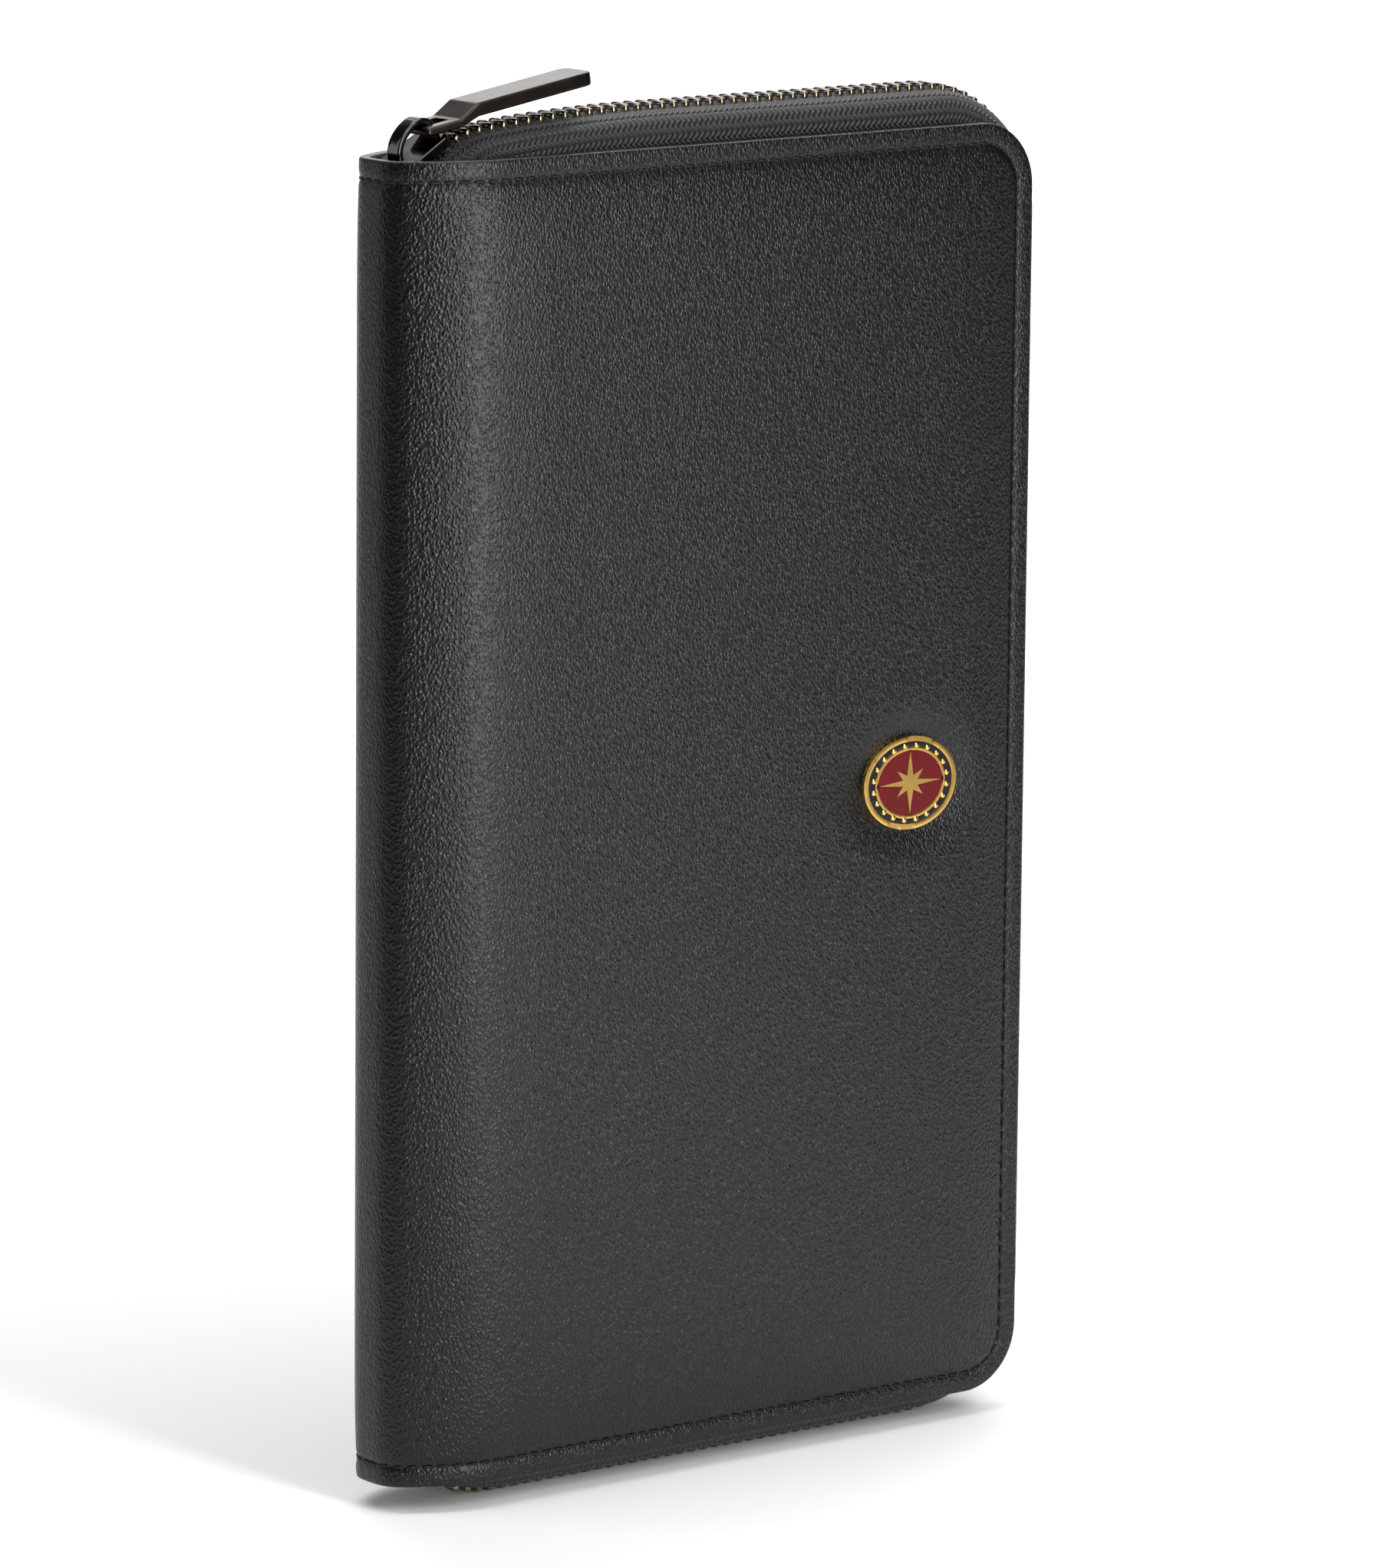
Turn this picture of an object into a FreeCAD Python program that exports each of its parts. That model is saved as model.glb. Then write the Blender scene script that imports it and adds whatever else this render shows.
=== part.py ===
"""Zip-around travel document organizer, standing on its lower long edge of zip.

Axes: +X from the spine to the opening edge, +Y from the front cover to the back cover, +Z up.
The origin is under the middle of the closed organizer, level with its lowest zip teeth.
Side +1 is the back cover and side -1 is the front cover. Depths run inward from a cover's outer face.
"""
import FreeCAD, Part
import math
import os
from FreeCAD import Placement, Rotation, Vector

# Overall sizes (mm)
cover_height = 240.0
cover_width = 140.0
closed_thickness = 26.0
cover_corner_radius = 12.0
spine_fold_radius = 8.0

# Layers of a cover, from the outside inward
leather_thickness = 1.2
foam_thickness = 1.2
board_thickness = 1.2
lining_thickness = 0.8
turned_edge_width = 1.4
lining_inset = 8.0
smallest_corner_radius = 4.0

# Stitch groove along the cover's edge
stitch_inset = 3.4
stitch_groove_width = 0.7
stitch_groove_depth = 0.3

# Folds between the covers and the spine
fold_gap = 0.3
board_to_fold = 1.0
spine_board_thickness = 0.5
spine_lining_thickness = 0.5
spine_board_end_gap = 14.0

# Zip: how far its teeth stand outside the leather's edge, and its path
bulge_top = 7.0
bulge_side = 7.0
bulge_bottom = 5.0
zip_corner_radius = 25.0
top_dip_pitch = 30.0
top_ease_pitch = 6.0
top_ease_radius = 380.0
top_dip_radius = 16.0
bottom_dip_pitch = 20.0
bottom_dip_radius = 45.0
bottom_end_from_spine = 10.0

# Zip tape
tape_thickness = 0.7
tape_root_depth = 13.0
tape_flat_reach = 4.2
tape_edge_from_middle = 1.6
tape_below_teeth = 0.5

# Zip teeth
tooth_pitch = 2.75
tooth_height = 1.7
tooth_foot_reach = 3.1
tooth_shoulder_reach = 1.1
tooth_head_reach = 0.55
tooth_foot_width = 1.24
tooth_head_width = 0.9
stop_length = 2.0
stop_inner_reach = 1.8
stop_outer_reach = 3.7

# Slider
slider_length = 11.0
slider_tail_from_spine = 12.6
slider_nose_width = 10.4
slider_tail_width = 9.0
slider_corner_radius = 1.6
slider_top_plate = 1.3
slider_bottom_plate = 1.1
slider_chain_clearance = 0.15
slider_channel_height = 2.75
slider_flange_width = 0.8
slider_top_flange = 0.5
slider_bottom_flange = 0.5
diamond_width = 2.6
diamond_length = 4.6
diamond_from_nose = 0.7
diamond_nose_share = 0.6
diamond_widest_at = 0.35
teeth_start_in_slider = 5.0
tape_start_in_slider = 8.6
slider_edge_round = 0.3

# Bridge on the slider
bridge_width = 3.5
bridge_thickness = 1.1
bridge_height = 4.8
bridge_start = -4.8
bridge_end = 5.2
bridge_crown_at = 2.0
bridge_nose_lean = 0.06
bridge_nose_rise = 0.6
bridge_crown_flat = 0.55
bridge_edge_round = 0.3

# Puller
puller_length = 37.0
puller_width = 8.6
puller_bar_radius = 0.8
puller_tab_thickness = 2.5
puller_step = 1.15
puller_step_start = 6.6
puller_step_end = 10.8
puller_eye_length = 4.9
puller_eye_side_clearance = 0.3
puller_tip_radius = 2.0
puller_edge_round = 0.5
puller_pitch = 9.5
puller_axis_in_slider = 2.4
puller_rest_clearance = 0.35

# Badge on the front cover
badge_width = 22.0
badge_height = 17.5
badge_thickness = 1.4
badge_from_opening_edge = 28.8
badge_above_middle = -1.2
badge_rim = 1.0
badge_recess = 0.5
badge_ring_share = 0.70
badge_line = 0.6
badge_star_points = 8
badge_star_waist = 0.25
badge_star_short_point = 0.59
badge_post_radius = 0.9
badge_post_spacing = 12.0
badge_post_clearance = 0.1
badge_washer_radius = 2.8
badge_washer_thickness = 0.6

# Pockets inside
pocket_thickness = 1.4
pocket_gap = 0.6
pocket_welt = 3.0
pocket_from_spine = 17.0
pocket_from_opening_edge = 12.0
pocket_above_base = 12.0
ticket_pocket_below_top = 26.0
passport_pocket_height = 100.0
slip_pocket_below_top = 20.0
card_slot_count = 4
card_slot_thickness = 1.1
card_slot_gap = 0.5
card_slot_from_spine = 26.0
card_slot_from_opening_edge = 18.0
card_slot_below_top = 34.0
card_slot_height = 91.0
card_slot_step = 13.0

# Pen loop on the spine's lining
pen_loop_width = 9.0
pen_loop_depth = 11.0
pen_loop_wall = 0.8
pen_loop_height = 45.0
pen_loop_above_base = 140.0
pen_loop_corner = 3.5

# Places worked out from the sizes above
cover_base = bulge_bottom
cover_top = cover_base + cover_height
spine_x = -(cover_width + bulge_side) / 2
opening_x = spine_x + cover_width
y_mid = badge_thickness / 2
half_thickness = closed_thickness / 2
shell_depth = leather_thickness + foam_thickness + board_thickness
lining_depth = shell_depth + lining_thickness
fold_x = spine_x + spine_fold_radius
UP = Vector(0, 0, 1)
ACROSS = Vector(0, 1, 0)
diagonal = math.sqrt(0.5)

# Tolerances for picking edges to round
edge_tolerance = 0.001
short_edge = 1.0
long_edge = 2.0
upright_share = 0.9
fillet_slack = 0.01


def write(name, shape):
    """Write one sub-part to its own file."""
    shape.exportStep("parts/" + name + ".step")


def on_side(shape, side):
    """Return a shape modelled on the back cover's side, or its mirror image on the front's."""
    if side > 0:
        return shape
    return shape.mirror(Vector(0, y_mid, 0), ACROSS)


def depth_y(depth):
    """Y of a plane at a depth inside the back cover's outer face."""
    return y_mid + half_thickness - depth


def layer(depth, thickness, x_start, inset):
    """A flat layer of the back cover: square at the spine, with rounded corners at the opening edge."""
    x_end = opening_x - inset
    low = cover_base + inset
    high = cover_top - inset
    radius = max(cover_corner_radius - inset, smallest_corner_radius)
    y = depth_y(depth)
    half_turn = radius * (1 - diagonal)
    corner_low = Vector(x_end - half_turn, y, low + half_turn)
    corner_high = Vector(x_end - half_turn, y, high - half_turn)
    edges = [
        Part.makeLine(Vector(x_start, y, low), Vector(x_end - radius, y, low)),
        Part.Arc(Vector(x_end - radius, y, low), corner_low, Vector(x_end, y, low + radius)).toShape(),
        Part.makeLine(Vector(x_end, y, low + radius), Vector(x_end, y, high - radius)),
        Part.Arc(Vector(x_end, y, high - radius), corner_high, Vector(x_end - radius, y, high)).toShape(),
        Part.makeLine(Vector(x_end - radius, y, high), Vector(x_start, y, high)),
        Part.makeLine(Vector(x_start, y, high), Vector(x_start, y, low)),
    ]
    return Part.Face(Part.Wire(edges)).extrude(Vector(0, -thickness, 0))


def fold_sector(start_angle, sweep):
    """A stretch of the leather round the back fold, between two angles about the fold's centre."""
    centre = Vector(fold_x, y_mid + half_thickness - spine_fold_radius, cover_base)
    outer = Part.makeCylinder(spine_fold_radius, cover_height, centre, UP, sweep)
    inner = Part.makeCylinder(spine_fold_radius - leather_thickness, cover_height, centre, UP, sweep)
    sector = outer.cut(inner)
    sector.rotate(centre, UP, start_angle)
    return sector


def half_fold_angle():
    """Angle of one half of a fold, short of the split by half the gap."""
    return 45.0 - math.degrees(fold_gap / 2 / spine_fold_radius)


def cover_leather():
    """Outer leather of the back cover: flat skin, edges turned inward, stitch groove and half a fold."""
    skin = layer(0, leather_thickness, fold_x, 0)
    rim = layer(leather_thickness, shell_depth - leather_thickness, fold_x, 0)
    rim = rim.cut(layer(leather_thickness, shell_depth - leather_thickness, fold_x, turned_edge_width))
    groove = layer(0, stitch_groove_depth, fold_x, stitch_inset)
    groove = groove.cut(layer(0, stitch_groove_depth, fold_x, stitch_inset + stitch_groove_width))
    leather = skin.fuse([rim, fold_sector(90.0, half_fold_angle())])
    return leather.cut(groove).removeSplitter()


def inner_layer(depth, thickness):
    """A layer inside the turned edge of a cover, starting clear of the fold."""
    return layer(depth, thickness, fold_x + board_to_fold, turned_edge_width)


def spine_leather():
    """Outer leather of the spine: flat strip with half a fold along each side."""
    flat_width = closed_thickness - 2 * spine_fold_radius
    corner = Vector(spine_x, y_mid - flat_width / 2, cover_base)
    flat = Part.makeBox(leather_thickness, flat_width, cover_height, corner)
    back_fold = fold_sector(180.0 - half_fold_angle(), half_fold_angle())
    return flat.fuse([back_fold, on_side(back_fold, -1)]).removeSplitter()


def spine_strip(start_depth, thickness, end_gap):
    """A flat strip behind the spine's leather."""
    flat_width = closed_thickness - 2 * spine_fold_radius
    corner = Vector(spine_x + start_depth, y_mid - flat_width / 2, cover_base + end_gap)
    return Part.makeBox(thickness, flat_width, cover_height - 2 * end_gap, corner)


def pen_loop():
    """Elastic loop standing on the spine's lining, open at the top and bottom."""
    base_x = spine_x + leather_thickness + spine_board_thickness + spine_lining_thickness
    corner = Vector(base_x, y_mid - pen_loop_width / 2, cover_base + pen_loop_above_base)
    outer = Part.makeBox(pen_loop_depth, pen_loop_width, pen_loop_height, corner)
    far_edges = [e for e in upright_edges(outer) if e.BoundBox.XMin > base_x + pen_loop_wall]
    outer = outer.makeFillet(pen_loop_corner, far_edges)
    shift = Vector(pen_loop_wall, pen_loop_wall, 0)
    inner_depth = pen_loop_depth - 2 * pen_loop_wall
    inner_width = pen_loop_width - 2 * pen_loop_wall
    inner = Part.makeBox(inner_depth, inner_width, pen_loop_height, corner + shift)
    far_edges = [e for e in upright_edges(inner) if e.BoundBox.XMin > base_x + 2 * pen_loop_wall]
    inner = inner.makeFillet(pen_loop_corner - pen_loop_wall, far_edges)
    return outer.cut(inner)


def upright_edges(shape):
    """Edges of a shape that run straight up."""
    return [e for e in shape.Edges if e.BoundBox.ZLength > upright_share * shape.BoundBox.ZLength]


def tray(depth, thickness, gap, from_spine, from_opening_edge, low_z, high_z):
    """A pocket panel of the back cover: welts on three sides hold it off what is behind, open at the top."""
    length = cover_width - from_spine - from_opening_edge
    height = high_z - low_z
    low = Vector(spine_x + from_spine, depth_y(depth + thickness), low_z)
    panel = Part.makeBox(length, thickness, height, low)
    inner_low = Vector(low.x + pocket_welt, depth_y(depth + gap), low.z + pocket_welt)
    inner = Part.makeBox(length - 2 * pocket_welt, gap, height - pocket_welt, inner_low)
    return panel.cut(inner)


def large_pocket(depth, top):
    """A pocket as wide as the lining allows, up to a given height."""
    return tray(depth, pocket_thickness, pocket_gap, pocket_from_spine, pocket_from_opening_edge,
                cover_base + pocket_above_base, top)


def card_slot(index):
    """One card slot of the front cover, stepped down from the one behind it."""
    depth = lining_depth + pocket_thickness + index * card_slot_thickness
    first_top = cover_top - card_slot_below_top
    slot = tray(depth, card_slot_thickness, card_slot_gap, card_slot_from_spine, card_slot_from_opening_edge,
                first_top - card_slot_height, first_top - index * card_slot_step)
    return on_side(slot, -1)


def tangent(heading):
    """Direction of travel along the zip for a heading in degrees above +X."""
    angle = math.radians(heading)
    return Vector(math.cos(angle), 0, math.sin(angle))


def outward(heading):
    """Direction out of the organizer, square to the zip, for a heading in degrees above +X."""
    angle = math.radians(heading)
    return Vector(-math.sin(angle), 0, math.cos(angle))


def slider_tail_point():
    """Crown of the chain where it enters the slider's tail."""
    ease = math.radians(top_ease_pitch)
    dip = math.radians(top_dip_pitch)
    drop = top_ease_radius * (1 - math.cos(ease)) + top_dip_radius * (math.cos(ease) - math.cos(dip))
    return Vector(spine_x + slider_tail_from_spine, y_mid, cover_top + bulge_top - drop)


def zip_path():
    """The zip's crown line as (kind, size, turn) steps, from inside the slider to the lower spine end."""
    ease = math.radians(top_ease_pitch)
    dip = math.radians(top_dip_pitch)
    rise_length = top_ease_radius * math.sin(ease) + top_dip_radius * (math.sin(dip) - math.sin(ease))
    top_start = slider_tail_point().x + rise_length
    corner_x = opening_x + bulge_side - zip_corner_radius
    side_length = cover_height + bulge_top + bulge_bottom - 2 * zip_corner_radius
    end_length = bottom_dip_radius * math.sin(math.radians(bottom_dip_pitch))
    bottom_end = spine_x + bottom_end_from_spine + end_length
    return [
        ("run", tape_start_in_slider, 0.0),
        ("bend", top_dip_radius, top_dip_pitch - top_ease_pitch),
        ("bend", top_ease_radius, top_ease_pitch),
        ("run", corner_x - top_start, 0.0),
        ("bend", zip_corner_radius, 90.0),
        ("run", side_length, 0.0),
        ("bend", zip_corner_radius, 90.0),
        ("run", corner_x - bottom_end, 0.0),
        ("bend", bottom_dip_radius, bottom_dip_pitch),
    ]


def path_start():
    """Crown point where the tape starts, inside the slider."""
    return slider_tail_point() - tangent(top_dip_pitch) * tape_start_in_slider


def step_length(kind, size, turn):
    """Length of one step of the zip's path."""
    if kind == "run":
        return size
    return size * math.radians(turn)


def advance(point, heading, kind, size, turn):
    """Point and heading at the end of one step; bends turn clockwise seen from the front."""
    if kind == "run":
        return point + tangent(heading) * size, heading
    centre = point - outward(heading) * size
    return centre + outward(heading - turn) * size, heading - turn


def tape_section(point, heading):
    """Cross-section of the back tape: an upright root, an arc inward, then a flat stretch to the teeth."""
    out = outward(heading)
    root = half_thickness - shell_depth
    bend = root - tape_flat_reach
    inner_bend = bend - tape_thickness
    foot = tape_below_teeth + bend

    def at(across, depth):
        return point + ACROSS * across - out * depth

    outer_root = at(root, tape_root_depth)
    outer_foot = at(root, foot)
    outer_mid = at(tape_flat_reach + diagonal * bend, foot - diagonal * bend)
    outer_flat = at(tape_flat_reach, tape_below_teeth)
    outer_tip = at(tape_edge_from_middle, tape_below_teeth)
    inner_tip = at(tape_edge_from_middle, tape_below_teeth + tape_thickness)
    inner_flat = at(tape_flat_reach, tape_below_teeth + tape_thickness)
    inner_mid = at(tape_flat_reach + diagonal * inner_bend, foot - diagonal * inner_bend)
    inner_foot = at(root - tape_thickness, foot)
    inner_root = at(root - tape_thickness, tape_root_depth)
    edges = [
        Part.makeLine(outer_root, outer_foot),
        Part.Arc(outer_foot, outer_mid, outer_flat).toShape(),
        Part.makeLine(outer_flat, outer_tip),
        Part.makeLine(outer_tip, inner_tip),
        Part.makeLine(inner_tip, inner_flat),
        Part.Arc(inner_flat, inner_mid, inner_foot).toShape(),
        Part.makeLine(inner_foot, inner_root),
        Part.makeLine(inner_root, outer_root),
    ]
    return Part.Face(Part.Wire(edges))


def zip_tape():
    """The back cover's half of the zip tape, swept along the whole path."""
    point = path_start()
    heading = top_dip_pitch
    pieces = []
    for kind, size, turn in zip_path():
        section = tape_section(point, heading)
        if kind == "run":
            pieces.append(section.extrude(tangent(heading) * size))
        else:
            centre = point - outward(heading) * size
            pieces.append(section.revolve(centre, ACROSS, turn))
        point, heading = advance(point, heading, kind, size, turn)
    return pieces[0].fuse(pieces[1:]).removeSplitter()


def station(distance):
    """Crown point and heading at a distance along the zip's path."""
    point = path_start()
    heading = top_dip_pitch
    for kind, size, turn in zip_path():
        length = step_length(kind, size, turn)
        if distance <= length:
            if kind == "run":
                return point + tangent(heading) * distance, heading
            part_turn = math.degrees(distance / size)
            return advance(point, heading, kind, size, part_turn)
        distance -= length
        point, heading = advance(point, heading, kind, size, turn)
    return point, heading


def path_length():
    """Whole length of the zip's path."""
    return sum(step_length(*step) for step in zip_path())


def prism_at(distance, outline, low, height):
    """A prism on the zip's path: outline points are (along, across) and it stands outward from low."""
    point, heading = station(distance)
    along = tangent(heading)
    out = outward(heading)
    corners = [point + along * a + ACROSS * b + out * low for a, b in outline]
    return Part.Face(Part.makePolygon(corners + corners[:1])).extrude(out * height)


def tooth(distance):
    """One zip tooth: a foot crimped on the tape's edge and a narrower head past the middle."""
    foot = tooth_foot_width / 2
    head = tooth_head_width / 2
    outline = [
        (-foot, tooth_foot_reach), (-foot, tooth_shoulder_reach), (-head, -tooth_head_reach),
        (head, -tooth_head_reach), (foot, tooth_shoulder_reach), (foot, tooth_foot_reach),
    ]
    return prism_at(distance, outline, -tooth_height, tooth_height)


def end_stop(distance):
    """A block crimped on the tape's edge past the last tooth."""
    half = stop_length / 2
    outline = [(-half, stop_inner_reach), (half, stop_inner_reach),
               (half, stop_outer_reach), (-half, stop_outer_reach)]
    return prism_at(distance, outline, -tooth_height, tooth_height - slider_chain_clearance)


def zip_row(offset):
    """A row of teeth for the back tape with a stop at each end; offset shifts it along the chain."""
    first = tape_start_in_slider - teeth_start_in_slider + tooth_pitch + offset
    last = path_length() - stop_length - tooth_pitch
    count = int((last - first) / tooth_pitch) + 1
    pieces = [tooth(first + i * tooth_pitch) for i in range(count)]
    pieces.append(end_stop(stop_length / 2))
    pieces.append(end_stop(path_length() - stop_length / 2))
    return Part.makeCompound(pieces)


def slider_placement():
    """Slider frame: origin on the chain's crown at mid-length, X along the chain towards the tail."""
    centre = slider_tail_point() - tangent(top_dip_pitch) * (slider_length / 2)
    return Placement(centre, Rotation(ACROSS, -top_dip_pitch))


def slider_outline(inset):
    """Plan outline of the slider's plates as a face at height 0, wider at the nose."""
    half = slider_length / 2 - inset
    nose = slider_nose_width / 2 - inset
    tail = slider_tail_width / 2 - inset
    corners = [Vector(-half, -nose, 0), Vector(half, -tail, 0), Vector(half, tail, 0), Vector(-half, nose, 0)]
    return Part.Face(Part.makePolygon(corners + corners[:1]))


def slider_plate(low, thickness):
    """One plate of the slider with rounded corners."""
    plate = slider_outline(0).extrude(UP * thickness)
    plate = plate.makeFillet(slider_corner_radius, upright_edges(plate))
    plate = plate.makeFillet(slider_edge_round, outer_rim_edges(plate, thickness))
    plate.translate(UP * low)
    return plate


def outer_rim_edges(plate, height):
    """Edges of a plate that lie in its top face."""
    return [e for e in plate.Edges if e.BoundBox.ZMin > height - edge_tolerance]


def slider_flange(low, height):
    """Flanges along both long sides of a plate, which keep the chain in the channel."""
    outer = slider_outline(0).extrude(UP * height)
    outer = outer.makeFillet(slider_corner_radius, upright_edges(outer))
    half = slider_length / 2
    nose = slider_nose_width / 2 - slider_flange_width
    tail = slider_tail_width / 2 - slider_flange_width
    corners = [Vector(-half, -nose, 0), Vector(half, -tail, 0),
               Vector(half, tail, 0), Vector(-half, nose, 0)]
    channel = Part.Face(Part.makePolygon(corners + corners[:1])).extrude(UP * height)
    flange = outer.cut(channel)
    flange.translate(UP * low)
    return flange


def slider_diamond():
    """Plan of the diamond at the slider's nose as a face at height 0."""
    nose = -slider_length / 2 + diamond_from_nose
    widest = nose + diamond_length * diamond_widest_at
    half = diamond_width / 2
    blunt = half * diamond_nose_share
    corners = [Vector(nose, -blunt, 0), Vector(widest, -half, 0), Vector(nose + diamond_length, 0, 0),
               Vector(widest, half, 0), Vector(nose, blunt, 0)]
    return Part.Face(Part.makePolygon(corners + corners[:1]))


def slider_body():
    """Slider: two plates with flanges, joined by the diamond that parts the rows."""
    top_low = slider_chain_clearance
    bottom_high = top_low - slider_channel_height
    top = slider_plate(top_low, slider_top_plate)
    bottom = slider_plate(0, slider_bottom_plate)
    bottom = bottom.mirror(Vector(0, 0, 0), UP)
    bottom.translate(UP * bottom_high)
    diamond = slider_diamond().extrude(UP * slider_channel_height)
    diamond.translate(UP * bottom_high)
    top_flange = slider_flange(top_low - slider_top_flange, slider_top_flange)
    bottom_flange = slider_flange(bottom_high, slider_bottom_flange)
    body = top.fuse([bottom, diamond, top_flange, bottom_flange]).removeSplitter()
    body.Placement = slider_placement().multiply(body.Placement)
    return body


def bridge_curve(inset):
    """Edges of the bridge's arch, from its nose foot to its tail foot, inset from the outer face."""
    base = slider_chain_clearance + slider_top_plate
    start = bridge_start + inset
    end = bridge_end - inset
    top = base + bridge_height - inset
    bend = bridge_end - bridge_crown_at - inset
    span = bridge_crown_at - start
    crown = Vector(bridge_crown_at, 0, top)
    shoulder = Vector(end, 0, top - bend)
    turn = Vector(bridge_crown_at + diagonal * bend, 0, top - bend + diagonal * bend)
    nose_poles = [
        Vector(start, 0, base),
        Vector(start + bridge_nose_lean * span, 0, base + bridge_nose_rise * (top - base)),
        Vector(bridge_crown_at - bridge_crown_flat * span, 0, top),
        crown,
    ]
    nose_curve = Part.BezierCurve()
    nose_curve.setPoles(nose_poles)
    return [
        nose_curve.toShape(),
        Part.Arc(crown, turn, shoulder).toShape(),
        Part.makeLine(shoulder, Vector(end, 0, base)),
    ]


def slider_bridge():
    """Arched bridge over the slider's top plate, which holds the puller's bar."""
    base = slider_chain_clearance + slider_top_plate
    outer = bridge_curve(0)
    inner = bridge_curve(bridge_thickness)
    outer_end = Part.makeLine(Vector(bridge_end, 0, base), Vector(bridge_end - bridge_thickness, 0, base))
    inner_end = Part.makeLine(Vector(bridge_start + bridge_thickness, 0, base), Vector(bridge_start, 0, base))
    wire = Part.Wire(Part.__sortEdges__(outer + [outer_end] + inner + [inner_end]))
    arch = Part.Face(wire).extrude(ACROSS * bridge_width)
    arch.translate(ACROSS * (-bridge_width / 2))
    side_edges = [e for e in arch.Edges if e.BoundBox.YLength < edge_tolerance and outer_arch_edge(e)]
    arch = arch.makeFillet(bridge_edge_round, side_edges)
    arch.Placement = slider_placement().multiply(arch.Placement)
    return arch


def outer_arch_edge(edge):
    """True for a side edge that lies on the arch's outer face, above its feet."""
    base = slider_chain_clearance + slider_top_plate
    box = edge.BoundBox
    spans_crown = box.ZMax > base + bridge_height - edge_tolerance
    outer_foot = lies_at_x(box, bridge_end)
    return spans_crown or outer_foot


def lies_at_x(box, x):
    """True for a box that has no length along X and lies at the given X."""
    return abs(box.XMin - x) < edge_tolerance and abs(box.XMax - x) < edge_tolerance


def puller_axis_height():
    """Height of the puller's axis in the slider frame, so that the puller rests on the tail's edge."""
    down = math.radians(top_dip_pitch - puller_pitch)
    reach = slider_length / 2 - puller_axis_in_slider
    plate_top = slider_chain_clearance + slider_top_plate
    return plate_top + puller_rest_clearance + puller_bar_radius / math.cos(down) + reach * math.tan(down)


def puller_placement():
    """Puller frame: origin on its axis, X along the tab at the raised rest pitch."""
    axis_point = Vector(puller_axis_in_slider, 0, puller_axis_height())
    return Placement(slider_placement().multVec(axis_point), Rotation(ACROSS, -puller_pitch))


def zip_puller():
    """Puller: a bar under the bridge, a rectangular eye, a step up and a long tab with a rounded tip."""
    radius = puller_bar_radius
    low_tab = -radius + puller_step
    high_tab = low_tab + puller_tab_thickness
    side_points = [
        Vector(-radius, 0, -radius), Vector(puller_step_start, 0, -radius),
        Vector(puller_step_end, 0, low_tab), Vector(puller_length, 0, low_tab),
        Vector(puller_length, 0, high_tab), Vector(puller_step_end, 0, high_tab),
        Vector(puller_step_start, 0, radius), Vector(-radius, 0, radius),
    ]
    body = Part.Face(Part.makePolygon(side_points + side_points[:1])).extrude(ACROSS * puller_width)
    body.translate(ACROSS * (-puller_width / 2))
    tip_edges = [e for e in body.Edges if is_tip_edge(e)]
    body = body.makeFillet(puller_tip_radius, tip_edges)
    bar_edges = [e for e in body.Edges if is_bar_edge(e)]
    body = body.makeFillet(radius - fillet_slack, bar_edges)
    step_edges = [e for e in body.Edges if is_step_edge(e)]
    body = body.makeFillet(puller_step, step_edges)
    half_eye = bridge_width / 2 + puller_eye_side_clearance
    eye = Part.makeBox(puller_eye_length, 2 * half_eye, 4 * radius, Vector(radius, -half_eye, -2 * radius))
    body = body.cut(eye)
    rounds = [e for e in body.Edges if is_long_tab_edge(e)]
    body = body.makeFillet(puller_edge_round, rounds)
    body.Placement = puller_placement().multiply(body.Placement)
    return body


def is_tip_edge(edge):
    """True for the upright edges at the puller's free end."""
    box = edge.BoundBox
    return box.XMin > puller_length - edge_tolerance and box.YLength < edge_tolerance


def is_bar_edge(edge):
    """True for the edges across the puller's bar, at its hinged end."""
    box = edge.BoundBox
    return box.XMax < -puller_bar_radius + edge_tolerance and box.YLength > short_edge


def is_step_edge(edge):
    """True for the edges across the puller where it steps up to the tab."""
    box = edge.BoundBox
    at_step = lies_at_x(box, puller_step_start) or lies_at_x(box, puller_step_end)
    return box.YLength > short_edge and at_step


def is_long_tab_edge(edge):
    """True for the long outer edges of the puller's sides."""
    box = edge.BoundBox
    on_side_face = min(abs(box.YMin), abs(box.YMax)) > puller_width / 2 - edge_tolerance
    return on_side_face and box.YLength < edge_tolerance and box.XLength > long_edge


def ellipse_face(width, height, y):
    """An ellipse in an upright plane, centred on the badge."""
    centre = badge_centre()
    centre.y = y
    major = centre + Vector(width / 2, 0, 0)
    minor = centre + Vector(0, 0, height / 2)
    curve = Part.Ellipse(major, minor, centre)
    return Part.Face(Part.Wire([curve.toShape()]))


def badge_centre():
    """Centre of the badge's back face on the front cover's outer face."""
    z = cover_base + cover_height / 2 + badge_above_middle
    return Vector(opening_x - badge_from_opening_edge, y_mid - half_thickness, z)


def badge_star(y):
    """Eight-pointed star face for the badge's field."""
    centre = badge_centre()
    share = badge_ring_share
    wide = badge_width / 2 * share - badge_line / 2
    high = badge_height / 2 * share - badge_line / 2
    points = []
    for i in range(2 * badge_star_points):
        angle = math.pi * i / badge_star_points
        across = badge_star_reach(i) * wide * math.sin(angle)
        upright = badge_star_reach(i) * high * math.cos(angle)
        points.append(Vector(centre.x + across, y, centre.z + upright))
    return Part.Face(Part.makePolygon(points + points[:1]))


def badge_star_reach(index):
    """Reach of a star corner: long points upright and level, short points between, waists between those."""
    if index % 2:
        return badge_star_waist
    if index % 4:
        return badge_star_short_point
    return 1.0


def badge_post_points():
    """Centres of the badge's two posts on the cover's face."""
    centre = badge_centre()
    return [centre + Vector(s * badge_post_spacing / 2, 0, 0) for s in (-1, 1)]


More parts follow.
